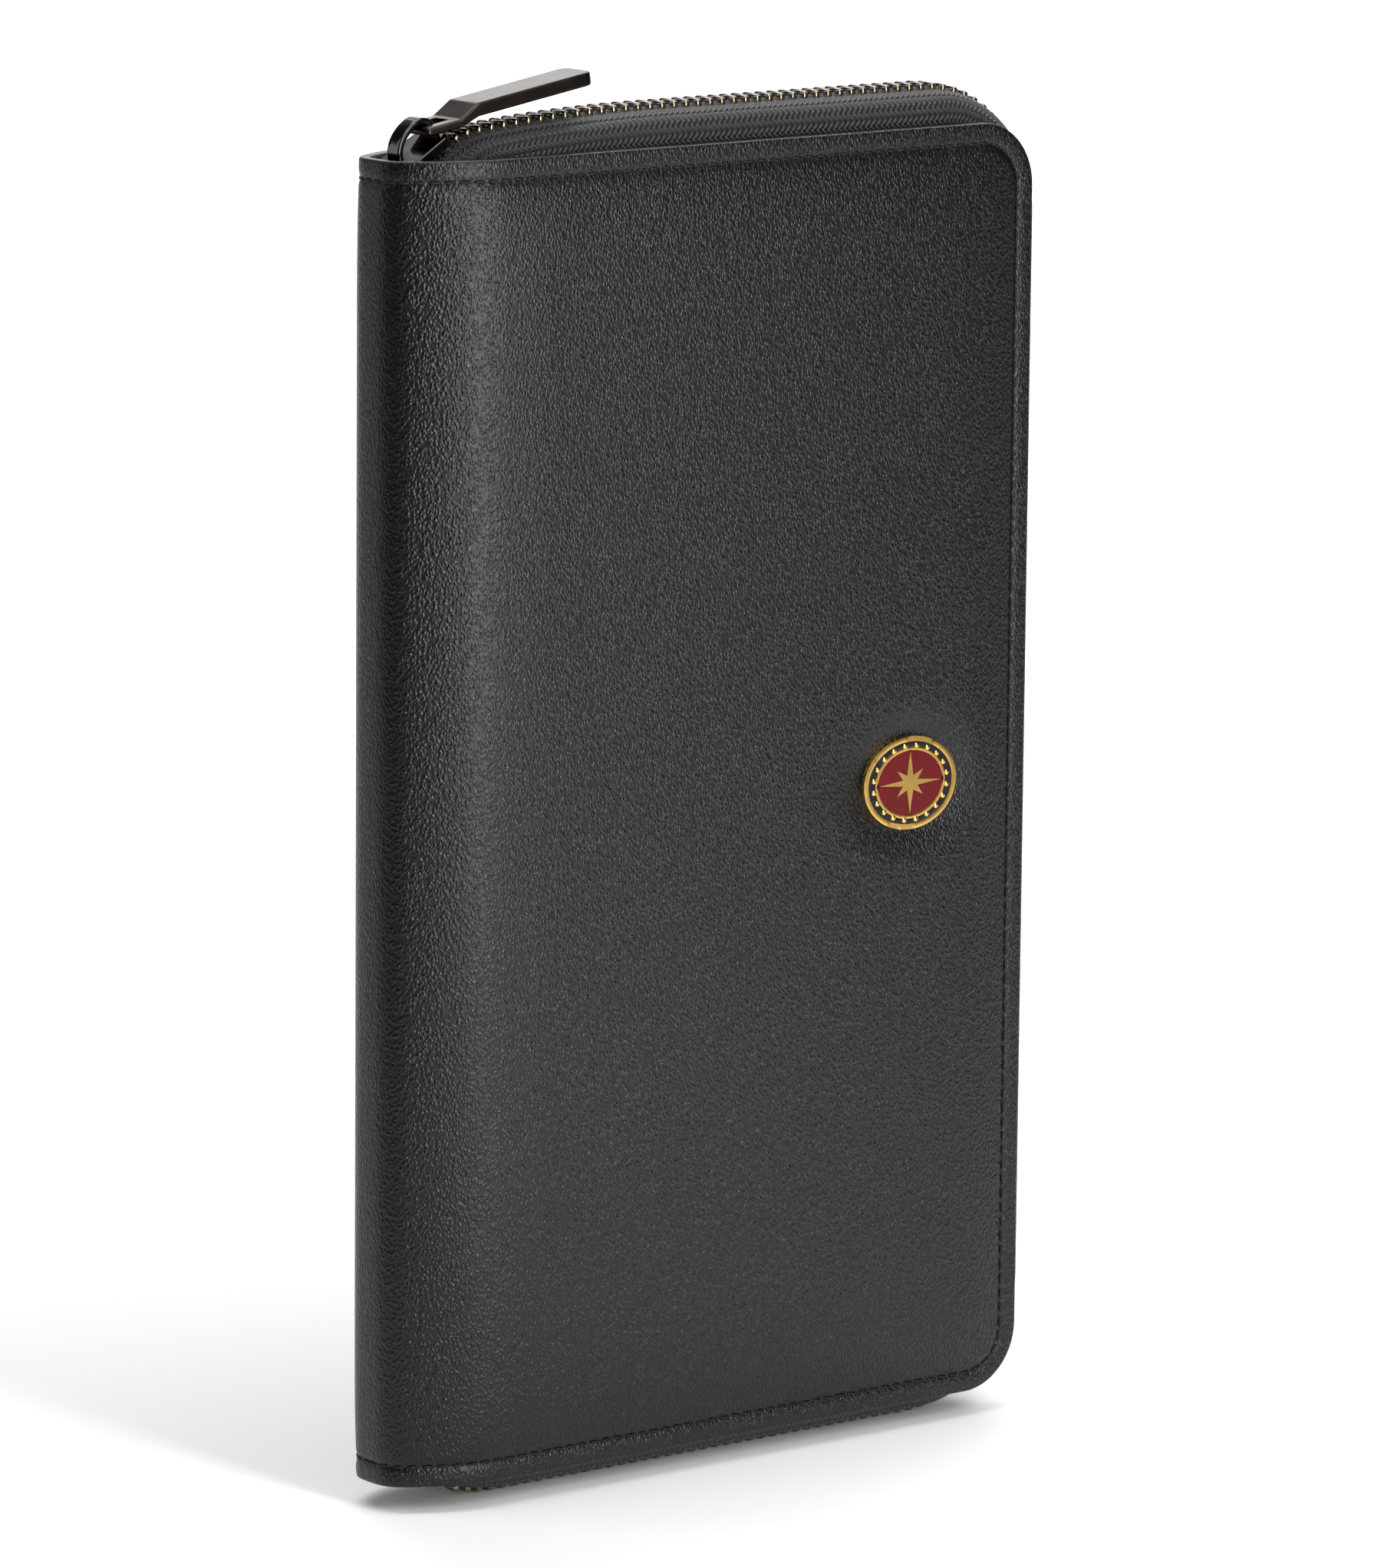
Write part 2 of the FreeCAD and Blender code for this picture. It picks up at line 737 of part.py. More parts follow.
def badge_post_holes(radius, depth):
    """Cylinders on the post centres, going into the cover."""
    return [Part.makeCylinder(radius, depth, p, ACROSS) for p in badge_post_points()]


def badge_field(share, border):
    """Face-down prism of an inner oval of the badge, as deep as the enamel recess."""
    front = badge_centre().y - badge_thickness
    width = badge_width * share - 2 * border
    height = badge_height * share - 2 * border
    return ellipse_face(width, height, front).extrude(ACROSS * badge_recess)


def badge_ring_recess():
    """Recess between the badge's rim and its inner line."""
    return badge_field(1.0, badge_rim).cut(badge_field(badge_ring_share, -badge_line))


def badge_star_recess():
    """Recess of the badge's field around its star."""
    front = badge_centre().y - badge_thickness
    star = badge_star(front).extrude(ACROSS * badge_recess)
    return badge_field(badge_ring_share, 0).cut(star)


def badge_plate():
    """Oval badge with a rim, an inner line, a raised star and two posts behind."""
    back = badge_centre().y
    plate = ellipse_face(badge_width, badge_height, back - badge_thickness).extrude(ACROSS * badge_thickness)
    plate = plate.cut([badge_ring_recess(), badge_star_recess()])
    post_depth = leather_thickness + badge_washer_thickness
    return plate.fuse(badge_post_holes(badge_post_radius, post_depth)).removeSplitter()


def badge_washers():
    """Push-on washers that hold the badge's posts behind the leather."""
    washers = []
    for point in badge_post_points():
        seat = point + ACROSS * leather_thickness
        ring = Part.makeCylinder(badge_washer_radius, badge_washer_thickness, seat, ACROSS)
        washers.append(ring.cut(Part.makeCylinder(badge_post_radius, badge_washer_thickness, seat, ACROSS)))
    return Part.makeCompound(washers)


def write_cover(side, name):
    """Write the leather, foam, board and lining of one cover."""
    leather = on_side(cover_leather(), side)
    foam = on_side(inner_layer(leather_thickness, foam_thickness), side)
    if side < 0:
        leather = leather.cut(badge_post_holes(badge_post_radius + badge_post_clearance, leather_thickness))
        washer_room = badge_washer_radius + badge_post_clearance
        foam = foam.cut(badge_post_holes(washer_room, shell_depth))
    lining = layer(shell_depth, lining_thickness, fold_x + board_to_fold, lining_inset)
    lining = on_side(lining.cut(zip_tape()), side)
    board = on_side(inner_layer(shell_depth - board_thickness, board_thickness), side)
    write(name + "_cover_leather", leather)
    write(name + "_foam_pad", foam)
    write(name + "_stiffener_board", board)
    write(name + "_lining", lining)


def write_spine():
    """Write the spine's leather, board, lining and pen loop."""
    lining_start = leather_thickness + spine_board_thickness
    write("spine_leather", spine_leather())
    write("spine_board", spine_strip(leather_thickness, spine_board_thickness, spine_board_end_gap))
    write("spine_lining", spine_strip(lining_start, spine_lining_thickness, spine_board_end_gap))
    write("pen_loop", pen_loop())


def write_pockets():
    """Write the ticket and passport pockets of the back, and the slip pocket and card slots of the front."""
    low = cover_base + pocket_above_base
    write("ticket_pocket", large_pocket(lining_depth, cover_top - ticket_pocket_below_top))
    write("passport_pocket", large_pocket(lining_depth + pocket_thickness, low + passport_pocket_height))
    write("slip_pocket", on_side(large_pocket(lining_depth, cover_top - slip_pocket_below_top), -1))
    for index in range(card_slot_count):
        write("card_slot_%d" % (index + 1), card_slot(index))


def write_zip():
    """Write both tapes, both rows of teeth, the slider, its bridge and its puller."""
    write("zip_tape_back", zip_tape())
    write("zip_tape_front", on_side(zip_tape(), -1))
    write("zip_teeth_back", zip_row(0))
    write("zip_teeth_front", on_side(zip_row(tooth_pitch / 2), -1))
    write("slider_body", slider_body())
    write("slider_bridge", slider_bridge())
    write("zip_puller", zip_puller())


def write_badge():
    """Write the badge's plate, enamel and washers."""
    write("badge_plate", badge_plate())
    write("badge_enamel_ring", badge_ring_recess())
    write("badge_enamel_field", badge_star_recess())
    write("badge_washers", badge_washers())


os.makedirs("parts", exist_ok=True)
write_cover(1, "back")
write_cover(-1, "front")
write_spine()
write_pockets()
write_zip()
write_badge()
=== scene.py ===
# %% [markdown]
# # A zip-around travel wallet in black calf leather
# The wallet stands upright, spine to the left and opening edge to the right. The hard parts come from
# the CAD frame. This script adds what leather, cloth, thread and plating look like, piece by piece.

# %% Load the frame
import math
import bpy
import bmesh
import numpy as np
from mathutils import Matrix, Vector


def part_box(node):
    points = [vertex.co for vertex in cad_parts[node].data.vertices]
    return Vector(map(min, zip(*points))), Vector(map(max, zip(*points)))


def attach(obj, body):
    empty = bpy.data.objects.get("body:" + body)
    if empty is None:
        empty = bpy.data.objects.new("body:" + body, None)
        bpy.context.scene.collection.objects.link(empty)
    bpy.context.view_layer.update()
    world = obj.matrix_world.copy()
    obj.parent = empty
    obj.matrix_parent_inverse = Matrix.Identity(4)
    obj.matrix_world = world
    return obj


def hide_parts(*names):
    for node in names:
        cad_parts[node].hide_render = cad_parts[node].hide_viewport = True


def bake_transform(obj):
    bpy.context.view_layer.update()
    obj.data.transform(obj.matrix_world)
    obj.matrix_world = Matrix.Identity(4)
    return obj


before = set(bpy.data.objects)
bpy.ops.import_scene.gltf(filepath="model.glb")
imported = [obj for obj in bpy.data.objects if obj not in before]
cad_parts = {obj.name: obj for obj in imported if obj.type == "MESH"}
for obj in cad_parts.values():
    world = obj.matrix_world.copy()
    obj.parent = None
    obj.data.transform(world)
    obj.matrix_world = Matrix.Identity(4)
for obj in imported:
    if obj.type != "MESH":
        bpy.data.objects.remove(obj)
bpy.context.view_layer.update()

MM = 0.001

# %% [markdown]
# ## Small helpers
# Three things are needed again and again: a colour given as sRGB hex, a node added to a material with its
# settings and links, and a mesh made from lists of points and faces.

# %% Colour, node and mesh helpers
def colour(hex_code):
    """Linear RGBA of an sRGB hex colour."""
    parts = [int(hex_code[i:i + 2], 16) / 255 for i in (1, 3, 5)]
    linear = [p / 12.92 if p <= 0.04045 else ((p + 0.055) / 1.055) ** 2.4 for p in parts]
    return (*linear, 1.0)


def add_node(tree, kind, settings=None, links=None):
    """Add a node; settings are attributes or input values, links are input name to a socket."""
    node = tree.nodes.new(kind)
    for name, value in (settings or {}).items():
        if isinstance(name, int) or name in node.inputs:
            node.inputs[name].default_value = value
        else:
            setattr(node, name, value)
    for name, socket in (links or {}).items():
        tree.links.new(socket, node.inputs[name])
    return node


def new_material(name, **settings):
    """A material with a Principled shader; settings are the shader's own inputs, by name."""
    material = bpy.data.materials.new(name)
    material.use_nodes = True
    tree = material.node_tree
    shader = tree.nodes["Principled BSDF"]
    for socket, value in settings.items():
        shader.inputs[socket.replace("_", " ")].default_value = value
    return material, tree, shader


def new_mesh(name, points, faces, uvs=None):
    """A smooth-shaded mesh object; uvs hold one pair in metres for each point."""
    mesh = bpy.data.meshes.new(name)
    mesh.from_pydata([tuple(p) for p in points], [], [tuple(f) for f in faces])
    if uvs is not None:
        layer = mesh.uv_layers.new(name="cut")
        order = np.zeros(len(mesh.loops), int)
        mesh.loops.foreach_get("vertex_index", order)
        layer.data.foreach_set("uv", np.array(uvs, float)[order].ravel())
    mesh.polygons.foreach_set("use_smooth", [True] * len(mesh.polygons))
    mesh.update()
    piece = bpy.data.objects.new(name, mesh)
    bpy.context.scene.collection.objects.link(piece)
    return piece


def dress(piece, material):
    """Give a piece its material."""
    piece.data.materials.clear()
    piece.data.materials.append(material)
    return piece


# %% [markdown]
# ## The camera
# The wallet is seen from a long way off with a long lens, from the spine side and a little above, so that
# its upright edges run almost parallel. The camera comes first, because it decides how fine details must be.

# %% Camera
CAMERA_DISTANCE = 1.607
CAMERA_AZIMUTH = math.radians(38.34)
CAMERA_PITCH = math.radians(10.28)
CAMERA_ROLL = math.radians(0.52)
LENS_MM = 201.2

aim = Vector((-2.0 * MM, -0.3 * MM, 125.75 * MM))
forward = Vector((math.sin(CAMERA_AZIMUTH) * math.cos(CAMERA_PITCH),
                  math.cos(CAMERA_AZIMUTH) * math.cos(CAMERA_PITCH), -math.sin(CAMERA_PITCH)))
level_right = Vector((math.cos(CAMERA_AZIMUTH), -math.sin(CAMERA_AZIMUTH), 0))
level_up = level_right.cross(forward)
right = math.cos(CAMERA_ROLL) * level_right + math.sin(CAMERA_ROLL) * level_up
up = right.cross(forward)
camera_data = bpy.data.cameras.new("camera")
camera_data.lens = LENS_MM
camera_data.sensor_width = 36.0
camera_data.clip_start = 0.05
camera_data.clip_end = 20.0
camera = bpy.data.objects.new("camera", camera_data)
turn = Matrix((right, up, -forward)).transposed()
camera.matrix_world = Matrix.Translation(aim - forward * CAMERA_DISTANCE) @ turn.to_4x4()
bpy.context.scene.collection.objects.link(camera)
bpy.context.scene.camera = camera
bpy.context.scene.view_settings.view_transform = "Standard"
print("camera stands at", [round(v, 3) for v in camera.location])

# %% [markdown]
# ## Floor and light
# A pale sweep carries the wallet. One softbox stands behind it at the left, one hangs above the paper behind
# it, and one hangs overhead, also aimed at the paper. Two narrow strips stand in front: the left one gives
# the bright band beside the spine, and the weaker right one lifts the flat cover.

# %% Floor
def make_floor():
    """A pale floor that curves up into a backdrop behind the wallet."""
    half_width = 3.0
    front, bend_at, radius, height = -2.4, 1.6, 0.8, 2.6
    bend_steps = 12
    profile = [(front, 0.0), (bend_at, 0.0)]
    for i in range(1, bend_steps + 1):
        angle = math.pi / 2 * i / bend_steps
        profile.append((bend_at + radius * math.sin(angle), radius * (1 - math.cos(angle))))
    profile.append((bend_at + radius, height))
    points = []
    for y, z in profile:
        points += [(-half_width, y, z), (half_width, y, z)]
    faces = [(2 * i, 2 * i + 1, 2 * i + 3, 2 * i + 2) for i in range(len(profile) - 1)]
    floor = new_mesh("floor", points, faces)
    floor.rotation_euler.z = -CAMERA_AZIMUTH
    paper = new_material("Matt white paper sweep", Base_Color=colour("#fbfbfb"), Roughness=0.9)[0]
    floor.data.materials.append(paper)
    return floor


floor = make_floor()

# %% Lights
def softbox(name, place, size, power, target=None):
    """A rectangular area light aimed at the wallet's middle or another target; places are in metres."""
    data = bpy.data.lights.new(name, "AREA")
    data.shape = "RECTANGLE"
    data.size, data.size_y = size
    data.energy = power
    light = bpy.data.objects.new(name, data)
    light.location = place
    light.rotation_euler = (Vector(target or aim) - Vector(place)).to_track_quat("-Z", "Y").to_euler()
    light.visible_camera = False
    bpy.context.scene.collection.objects.link(light)
    return light


world = bpy.data.worlds.new("studio")
bpy.context.scene.world = world
world.use_nodes = True
room_light = world.node_tree.nodes["Background"]
room_light.inputs["Color"].default_value = colour("#ffffff")
room_light.inputs["Strength"].default_value = 0.06
softbox("back left softbox", (-1.5, 1.5, 0.7), (0.7, 1.6), 6)
softbox("overhead softbox", (-0.06, -0.08, 0.9), (0.9, 0.6), 7, (0.87, 1.1, 0.0))
softbox("backdrop softbox", (0.84, 1.07, 1.5), (1.6, 1.4), 32, (1.0, 1.3, 0.2))
softbox("front strip", (-0.04, -0.47, 0.25), (0.1, 0.48), 2.4)
softbox("front right strip", (0.13, -0.46, 0.25), (0.14, 0.48), 0.6)

# %% [markdown]
# ## Sizes of the leather wrap
# One piece of leather runs from the back cover round the spine to the front cover. It is easiest to think
# of it unrolled: u runs from the middle of the spine to the opening edge, z runs up. Each half is drawn
# flat and then wrapped, so the front half and the back half share one function.

# %% Wrap sizes
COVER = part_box("front_cover_leather")
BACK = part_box("back_cover_leather")
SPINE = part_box("spine_leather")
SPINE_FLAT = 2.5 * MM
TIGHT_RADIUS, TIGHT_TURN = 6.0 * MM, math.radians(48)
WIDE_TURN = math.pi / 2 - TIGHT_TURN
SPINE_BULGE = 2.0 * MM
CORNER_RADIUS = 12.0 * MM
Y_MID = (COVER[0].y + BACK[1].y) / 2
HALF = (BACK[1].y - COVER[0].y) / 2
SPINE_X = SPINE[0].x
OPENING_X = COVER[1].x
BASE_Z = COVER[0].z
TOP_Z = COVER[1].z
HEIGHT = TOP_Z - BASE_Z
WIDE_RADIUS = (HALF - SPINE_FLAT - TIGHT_RADIUS * math.sin(TIGHT_TURN)) / (1 - math.cos(WIDE_TURN))
TIGHT_END = SPINE_FLAT + TIGHT_RADIUS * TIGHT_TURN
FOLD_END = TIGHT_END + WIDE_RADIUS * WIDE_TURN
FOLD_X = SPINE_X + TIGHT_RADIUS * (1 - math.cos(TIGHT_TURN)) + WIDE_RADIUS * math.sin(WIDE_TURN)
WIDTH_U = FOLD_END + OPENING_X - FOLD_X
print("half wrap is", round(WIDTH_U / MM, 1), "by", round(HEIGHT / MM, 1), "mm")


# %% Wrap a flat point
def smooth_step(low, high, value):
    """0 below low, 1 above high, and smooth between."""
    t = min(max((value - low) / (high - low), 0.0), 1.0)
    return t * t * (3 - 2 * t)


def wrap(u, z, depth, side):
    """Point of the wallet for a flat point at a depth inside the outer face; side is -1 front, +1 back."""
    bulge = SPINE_BULGE * (1 - smooth_step(0.0, 0.7 * FOLD_END, u))
    if u < SPINE_FLAT:
        return (SPINE_X + depth - bulge, Y_MID + side * u, z)
    if u < TIGHT_END:
        angle = (u - SPINE_FLAT) / TIGHT_RADIUS
        return (SPINE_X + TIGHT_RADIUS - (TIGHT_RADIUS - depth) * math.cos(angle) - bulge,
                Y_MID + side * (SPINE_FLAT + (TIGHT_RADIUS - depth) * math.sin(angle)), z)
    if u < FOLD_END:
        angle = (FOLD_END - u) / WIDE_RADIUS
        return (FOLD_X - (WIDE_RADIUS - depth) * math.sin(angle) - bulge,
                Y_MID + side * (HALF - WIDE_RADIUS + (WIDE_RADIUS - depth) * math.cos(angle)), z)
    return (FOLD_X + u - FOLD_END, Y_MID + side * (HALF - depth), z)


# %% [markdown]
# ## The leather cover
# On the real wallet the leather is stretched over thin foam and its edges are turned inward over the zip
# tape. A line of stitches 3.75 mm from the edge pulls the leather down, so the strip outside it stands up as
# a soft border and the panel inside it swells. The mesh is made of rings that follow the outline at set
# insets, packed closely at the edge and the stitch line, because that is where the shape changes quickly.

# %% Rings of the cover
STITCH_INSET = 3.75 * MM
RIM_DEPTH_COVER = 3.5 * MM
RIM_DEPTH_SPINE = 2.1 * MM
CROWN = 1.8 * MM
CROWN_RUN = 6.0 * MM
EDGE_RINGS = [
    (9.4, 1.0), (3.0, 1.0), (1.0, 1.0), (0.35, 0.97), (0.08, 0.88), (0.0, 0.75), (0.0, 0.18),
    (0.05, 0.09), (0.16, 0.03), (0.36, 0.0), (0.8, -0.012), (1.5, -0.02), (2.2, -0.02), (2.75, 0.0),
    (3.1, 0.02), (3.4, 0.045), (3.6, 0.07), (3.75, 0.078), (3.9, 0.07), (4.1, 0.045), (4.4, 0.02),
    (4.8, 0.0), (5.3, -0.005), (6.0, 0.0), (6.8, 0.0), (7.8, 0.0), (9.0, 0.0), (10.4, 0.0),
]
SEAM_DEPTH = 0.078
PANEL_RINGS = list(np.arange(12.0, 47.0, 1.75)) + list(np.arange(48.0, 114.0, 5.0)) + [116.0]
HIDE_SHIFT = 0.3
INNER_FLANGE_RINGS = 3
TURNED_EDGE_RINGS = 8
FIRST_PADDED_RING = 13
FOLD_STEPS = 22
CLOSING_STEPS = FOLD_STEPS + 70


def ring_points(inset, count_top=64, count_corner=14, count_side=130):
    """Flat points (u, z) of one ring, from the spine along the top, down the opening edge and back below."""
    radius = max(CORNER_RADIUS - inset, min(4.0 * MM, HEIGHT / 2 - inset - 0.5 * MM))
    far = WIDTH_U - inset
    top = TOP_Z - inset
    start = FOLD_END + 1.0 * MM
    stations = list(np.linspace(0, SPINE_FLAT, 5)) + list(np.linspace(SPINE_FLAT, FOLD_END, FOLD_STEPS))[1:]
    stations += list(np.linspace(FOLD_END, start, 5))[1:]
    stations += list(np.linspace(start, far - radius, count_top))[1:]
    upper = [(u, top) for u in stations]
    for i in range(1, count_corner):
        angle = math.pi / 2 * i / count_corner
        upper.append((far - radius + radius * math.sin(angle), top - radius + radius * math.cos(angle)))
    middle_z = (TOP_Z + BASE_Z) / 2
    side = [(far, z) for z in np.linspace(top - radius, 2 * middle_z - top + radius, count_side)]
    lower = [(u, 2 * middle_z - z) for u, z in reversed(upper)]
    return upper + side + lower


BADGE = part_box("badge_plate")
BADGE_U = FOLD_END + (BADGE[0].x + BADGE[1].x) / 2 - FOLD_X
BADGE_Z = (BADGE[0].z + BADGE[1].z) / 2
BADGE_HALF_WIDTH = (BADGE[1].x - BADGE[0].x) / 2
BADGE_HALF_HEIGHT = (BADGE[1].z - BADGE[0].z) / 2


def swell(distance):
    """How far the padding has risen at a distance inside the stitch line, from 0 to 1."""
    return 1 - math.exp(-max(distance - STITCH_INSET, 0) / CROWN_RUN)


def panel_rise(u, z, side):
    """Height of the padded panel above the cover's flat face, in metres."""
    on_cover = smooth_step(TIGHT_END, FOLD_END + 10 * MM, u)
    rise = CROWN * swell(WIDTH_U - u) * swell(TOP_Z - z) * swell(z - BASE_Z) * (0.2 + 0.8 * on_cover)
    rise += 0.10 * MM * math.sin(u / (31 * MM) + 1.3) * math.sin(z / (43 * MM) + 0.4) * on_cover
    if side < 0:
        across = (u - BADGE_U) / BADGE_HALF_WIDTH
        along = (z - BADGE_Z) / BADGE_HALF_HEIGHT
        rise *= 1 - 0.97 * math.exp(-((across ** 2 + along ** 2) / 1.7) ** 2)
        ridge = math.exp(-((across - 1.55) / 0.33) ** 2 - ((along - 0.1) / 1.25) ** 2)
        rise += 0.35 * MM * ridge
    return rise


def cover_mesh(name, side):
    """One half of the leather wrap, from the middle of the spine to the opening edge."""
    rings = [(inset * MM, share) for inset, share in EDGE_RINGS]
    rings += [(inset * MM, 0.0) for inset in PANEL_RINGS]
    count = len(ring_points(0.0))
    points, uvs, faces = [], [], []
    for number, (inset, share) in enumerate(rings):
        padded = smooth_step(STITCH_INSET, STITCH_INSET + 1.5 * MM, inset)
        for u, z in ring_points(inset):
            rim = RIM_DEPTH_SPINE + (RIM_DEPTH_COVER - RIM_DEPTH_SPINE) * smooth_step(SPINE_FLAT, FOLD_END, u)
            depth = share * (rim if number < TURNED_EDGE_RINGS else RIM_DEPTH_COVER)
            if number >= FIRST_PADDED_RING:
                depth -= panel_rise(u, z, side) * padded
            points.append(wrap(u, z, depth, side))
            cut_u = u + (HIDE_SHIFT if side > 0 else 0.0)
            uvs.append((cut_u - inset if number < INNER_FLANGE_RINGS else cut_u, z))
    for ring in range(len(rings) - 1):
        for i in range(count - 1):
            a, b = ring * count + i, ring * count + i + 1
            quad = (a, a + count, b + count, b)
            faces.append(quad if side < 0 else quad[::-1])
    # The last ring is closed by strips from the spine to its corners, and then by one face.
    last = (len(rings) - 1) * count
    for i in range(CLOSING_STEPS):
        quad = (last + i, last + count - 1 - i, last + count - 2 - i, last + i + 1)
        faces.append(quad if side < 0 else quad[::-1])
    rest = list(range(last + CLOSING_STEPS, last + count - CLOSING_STEPS))
    faces.append(rest[::-1] if side < 0 else rest)
    return new_mesh(name, points, faces, uvs)


# %% [markdown]
# ## Calf leather
# Corrected calf with a fine printed grain: small, slightly stretched pebbles about 0.5 mm across with
# shallow furrows between them, dyed through in black and sealed with a satin finish. The furrows matter
# more than the colour: they break each highlight into a soft, wide one.

# %% Leather material
GRAIN_MM = 0.65


def leather_material(name, base, bright, gloss_range, grain_mm=GRAIN_MM, relief_mm=0.11):
    """Finished calf leather with a printed pebble grain; tops are polished and furrows stay dull."""
    material, tree, shader = new_material(name, IOR=1.5, Coat_Weight=0.05, Coat_Roughness=0.3,
                                          Specular_IOR_Level=0.34)
    place = add_node(tree, "ShaderNodeUVMap")
    warp = add_node(tree, "ShaderNodeTexNoise", {"Scale": 700.0, "Detail": 2.0},
                    {"Vector": place.outputs["UV"]})
    shift = add_node(tree, "ShaderNodeVectorMath", {"operation": "SCALE", "Scale": 0.9 * MM},
                     {0: warp.outputs["Color"]})
    moved = add_node(tree, "ShaderNodeVectorMath", {"operation": "ADD"},
                     {0: place.outputs["UV"], 1: shift.outputs["Vector"]})
    stretched = add_node(tree, "ShaderNodeMapping", {"Rotation": (0, 0, 0.45), "Scale": (1.35, 0.8, 1.0)},
                         {"Vector": moved.outputs["Vector"]})
    pebbles = add_node(tree, "ShaderNodeTexVoronoi", {"feature": "SMOOTH_F1", "Scale": 1 / (grain_mm * MM),
                                                      "Smoothness": 0.3},
                       {"Vector": stretched.outputs["Vector"]})
    pores = add_node(tree, "ShaderNodeTexNoise", {"Scale": 2600.0, "Detail": 3.0},
                     {"Vector": place.outputs["UV"]})
    clouds = add_node(tree, "ShaderNodeTexNoise", {"Scale": 45.0, "Detail": 4.0, "Roughness": 0.6},
                      {"Vector": place.outputs["UV"]})
    dome = add_node(tree, "ShaderNodeMapRange",
                    {"From Min": 0.1, "From Max": 0.7, "To Min": 1.0, "To Max": 0.0},
                    {"Value": pebbles.outputs["Distance"]})
    relief = add_node(tree, "ShaderNodeMath", {"operation": "MULTIPLY_ADD", 1: 0.3},
                      {0: pores.outputs["Fac"], 2: dome.outputs["Result"]})
    bump = add_node(tree, "ShaderNodeBump", {"Strength": 1.0, "Distance": relief_mm * MM},
                    {"Height": relief.outputs["Value"]})
    tint = add_node(tree, "ShaderNodeMix", {"data_type": "RGBA", 6: colour(base), 7: colour(bright)})
    amount = add_node(tree, "ShaderNodeMath", {"operation": "MULTIPLY"},
                      {0: dome.outputs["Result"], 1: clouds.outputs["Fac"]})
    tree.links.new(amount.outputs["Value"], tint.inputs[0])
    gloss = add_node(tree, "ShaderNodeMapRange", {"To Min": gloss_range[1], "To Max": gloss_range[0]},
                     {"Value": dome.outputs["Result"]})
    tree.links.new(tint.outputs[2], shader.inputs["Base Color"])
    tree.links.new(gloss.outputs["Result"], shader.inputs["Roughness"])
    tree.links.new(bump.outputs["Normal"], shader.inputs["Normal"])
    return material


calf = leather_material("Printed calf leather, black, satin", "#030304", "#0e0e0f", (0.2, 0.4))

# %% Make both halves of the cover
front_leather = dress(cover_mesh("front_leather_wrap", -1), calf)
back_leather = dress(cover_mesh("back_leather_wrap", 1), calf)
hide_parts("front_cover_leather", "spine_leather")
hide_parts("back_cover_leather")
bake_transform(front_leather)
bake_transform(back_leather)
print("front wrap has", len(front_leather.data.polygons), "faces")

# %% [markdown]
# ## Stitches
# Waxed polyester thread, about 0.55 mm thick, nine stitches to the inch. Each stitch is a short capsule that
# dips into the leather at both ends, so the row reads as a dashed line in its groove.

# %% A row of stitches along a line
STITCH_PITCH = 2.75 * MM
STITCH_LENGTH = 2.25 * MM
THREAD_RADIUS = 0.27 * MM


def stitch_row(name, lines, pitch=STITCH_PITCH, length=STITCH_LENGTH, radius=THREAD_RADIUS):
    """Capsule stitches along 3D polylines, given as (points, outward normals)."""
    ring_at = [(-0.5, 0.25), (-0.44, 0.75), (-0.3, 1.0), (0.0, 1.0), (0.3, 1.0), (0.44, 0.75), (0.5, 0.25)]
    sides = 8
    points, faces, uvs = [], [], []
    for line_points, normals in lines:
        line = np.array(line_points, float)
        reach = np.concatenate([[0], np.cumsum(np.linalg.norm(np.diff(line, axis=0), axis=1))])
        normals = np.array(normals, float)

        def at(distance):
            return np.array([np.interp(distance, reach, line[:, k]) for k in range(3)])

        for middle in np.arange(pitch / 2, reach[-1], pitch):
            normal = np.array([np.interp(middle, reach, normals[:, k]) for k in range(3)])
            along = at(middle + length / 2) - at(middle - length / 2)
            along /= np.linalg.norm(along)
            normal -= along * float(normal @ along)
            normal /= np.linalg.norm(normal)
            across = np.cross(along, normal)
            first = len(points)
            for share, thick in ring_at:
                sink = radius * 1.1 * (2 * share) ** 4
                centre = at(middle) + along * (share * length) + normal * (0.35 * radius - sink)
                for k in range(sides):
                    angle = 2 * math.pi * k / sides
                    outward = across * math.cos(angle) + normal * math.sin(angle)
                    points.append(centre + radius * thick * outward)
                    uvs.append((middle + share * length, angle * radius))
            for ring in range(len(ring_at) - 1):
                for k in range(sides):
                    a, b = first + ring * sides + k, first + ring * sides + (k + 1) % sides
                    faces.append((a, b, b + sides, a + sides))
            faces.append([first + k for k in range(sides)][::-1])
            faces.append([first + (len(ring_at) - 1) * sides + k for k in range(sides)])
    return new_mesh(name, points, faces, uvs)


PLY = 0.2 * MM


def thread_material(name, base, bright):
    """Twisted waxed thread: thin slanting plies that catch the light."""
    material, tree, shader = new_material(name, Roughness=0.5, Specular_IOR_Level=0.3)
    place = add_node(tree, "ShaderNodeUVMap")
    split = add_node(tree, "ShaderNodeSeparateXYZ", None, {0: place.outputs["UV"]})
    phase = add_node(tree, "ShaderNodeMath", {"operation": "ADD"},
                     {0: split.outputs["X"], 1: split.outputs["Y"]})
    plies = add_node(tree, "ShaderNodeMath", {"operation": "PINGPONG", 1: PLY}, {0: phase.outputs["Value"]})
    level = add_node(tree, "ShaderNodeMapRange", {"From Max": PLY}, {"Value": plies.outputs["Value"]})
    tint = add_node(tree, "ShaderNodeMix", {"data_type": "RGBA", 6: colour(base), 7: colour(bright)},
                    {0: level.outputs["Result"]})
    bump = add_node(tree, "ShaderNodeBump", {"Strength": 0.8, "Distance": 0.05 * MM},
                    {"Height": level.outputs["Result"]})
    tree.links.new(tint.outputs[2], shader.inputs["Base Color"])
    tree.links.new(bump.outputs["Normal"], shader.inputs["Normal"])
    return material


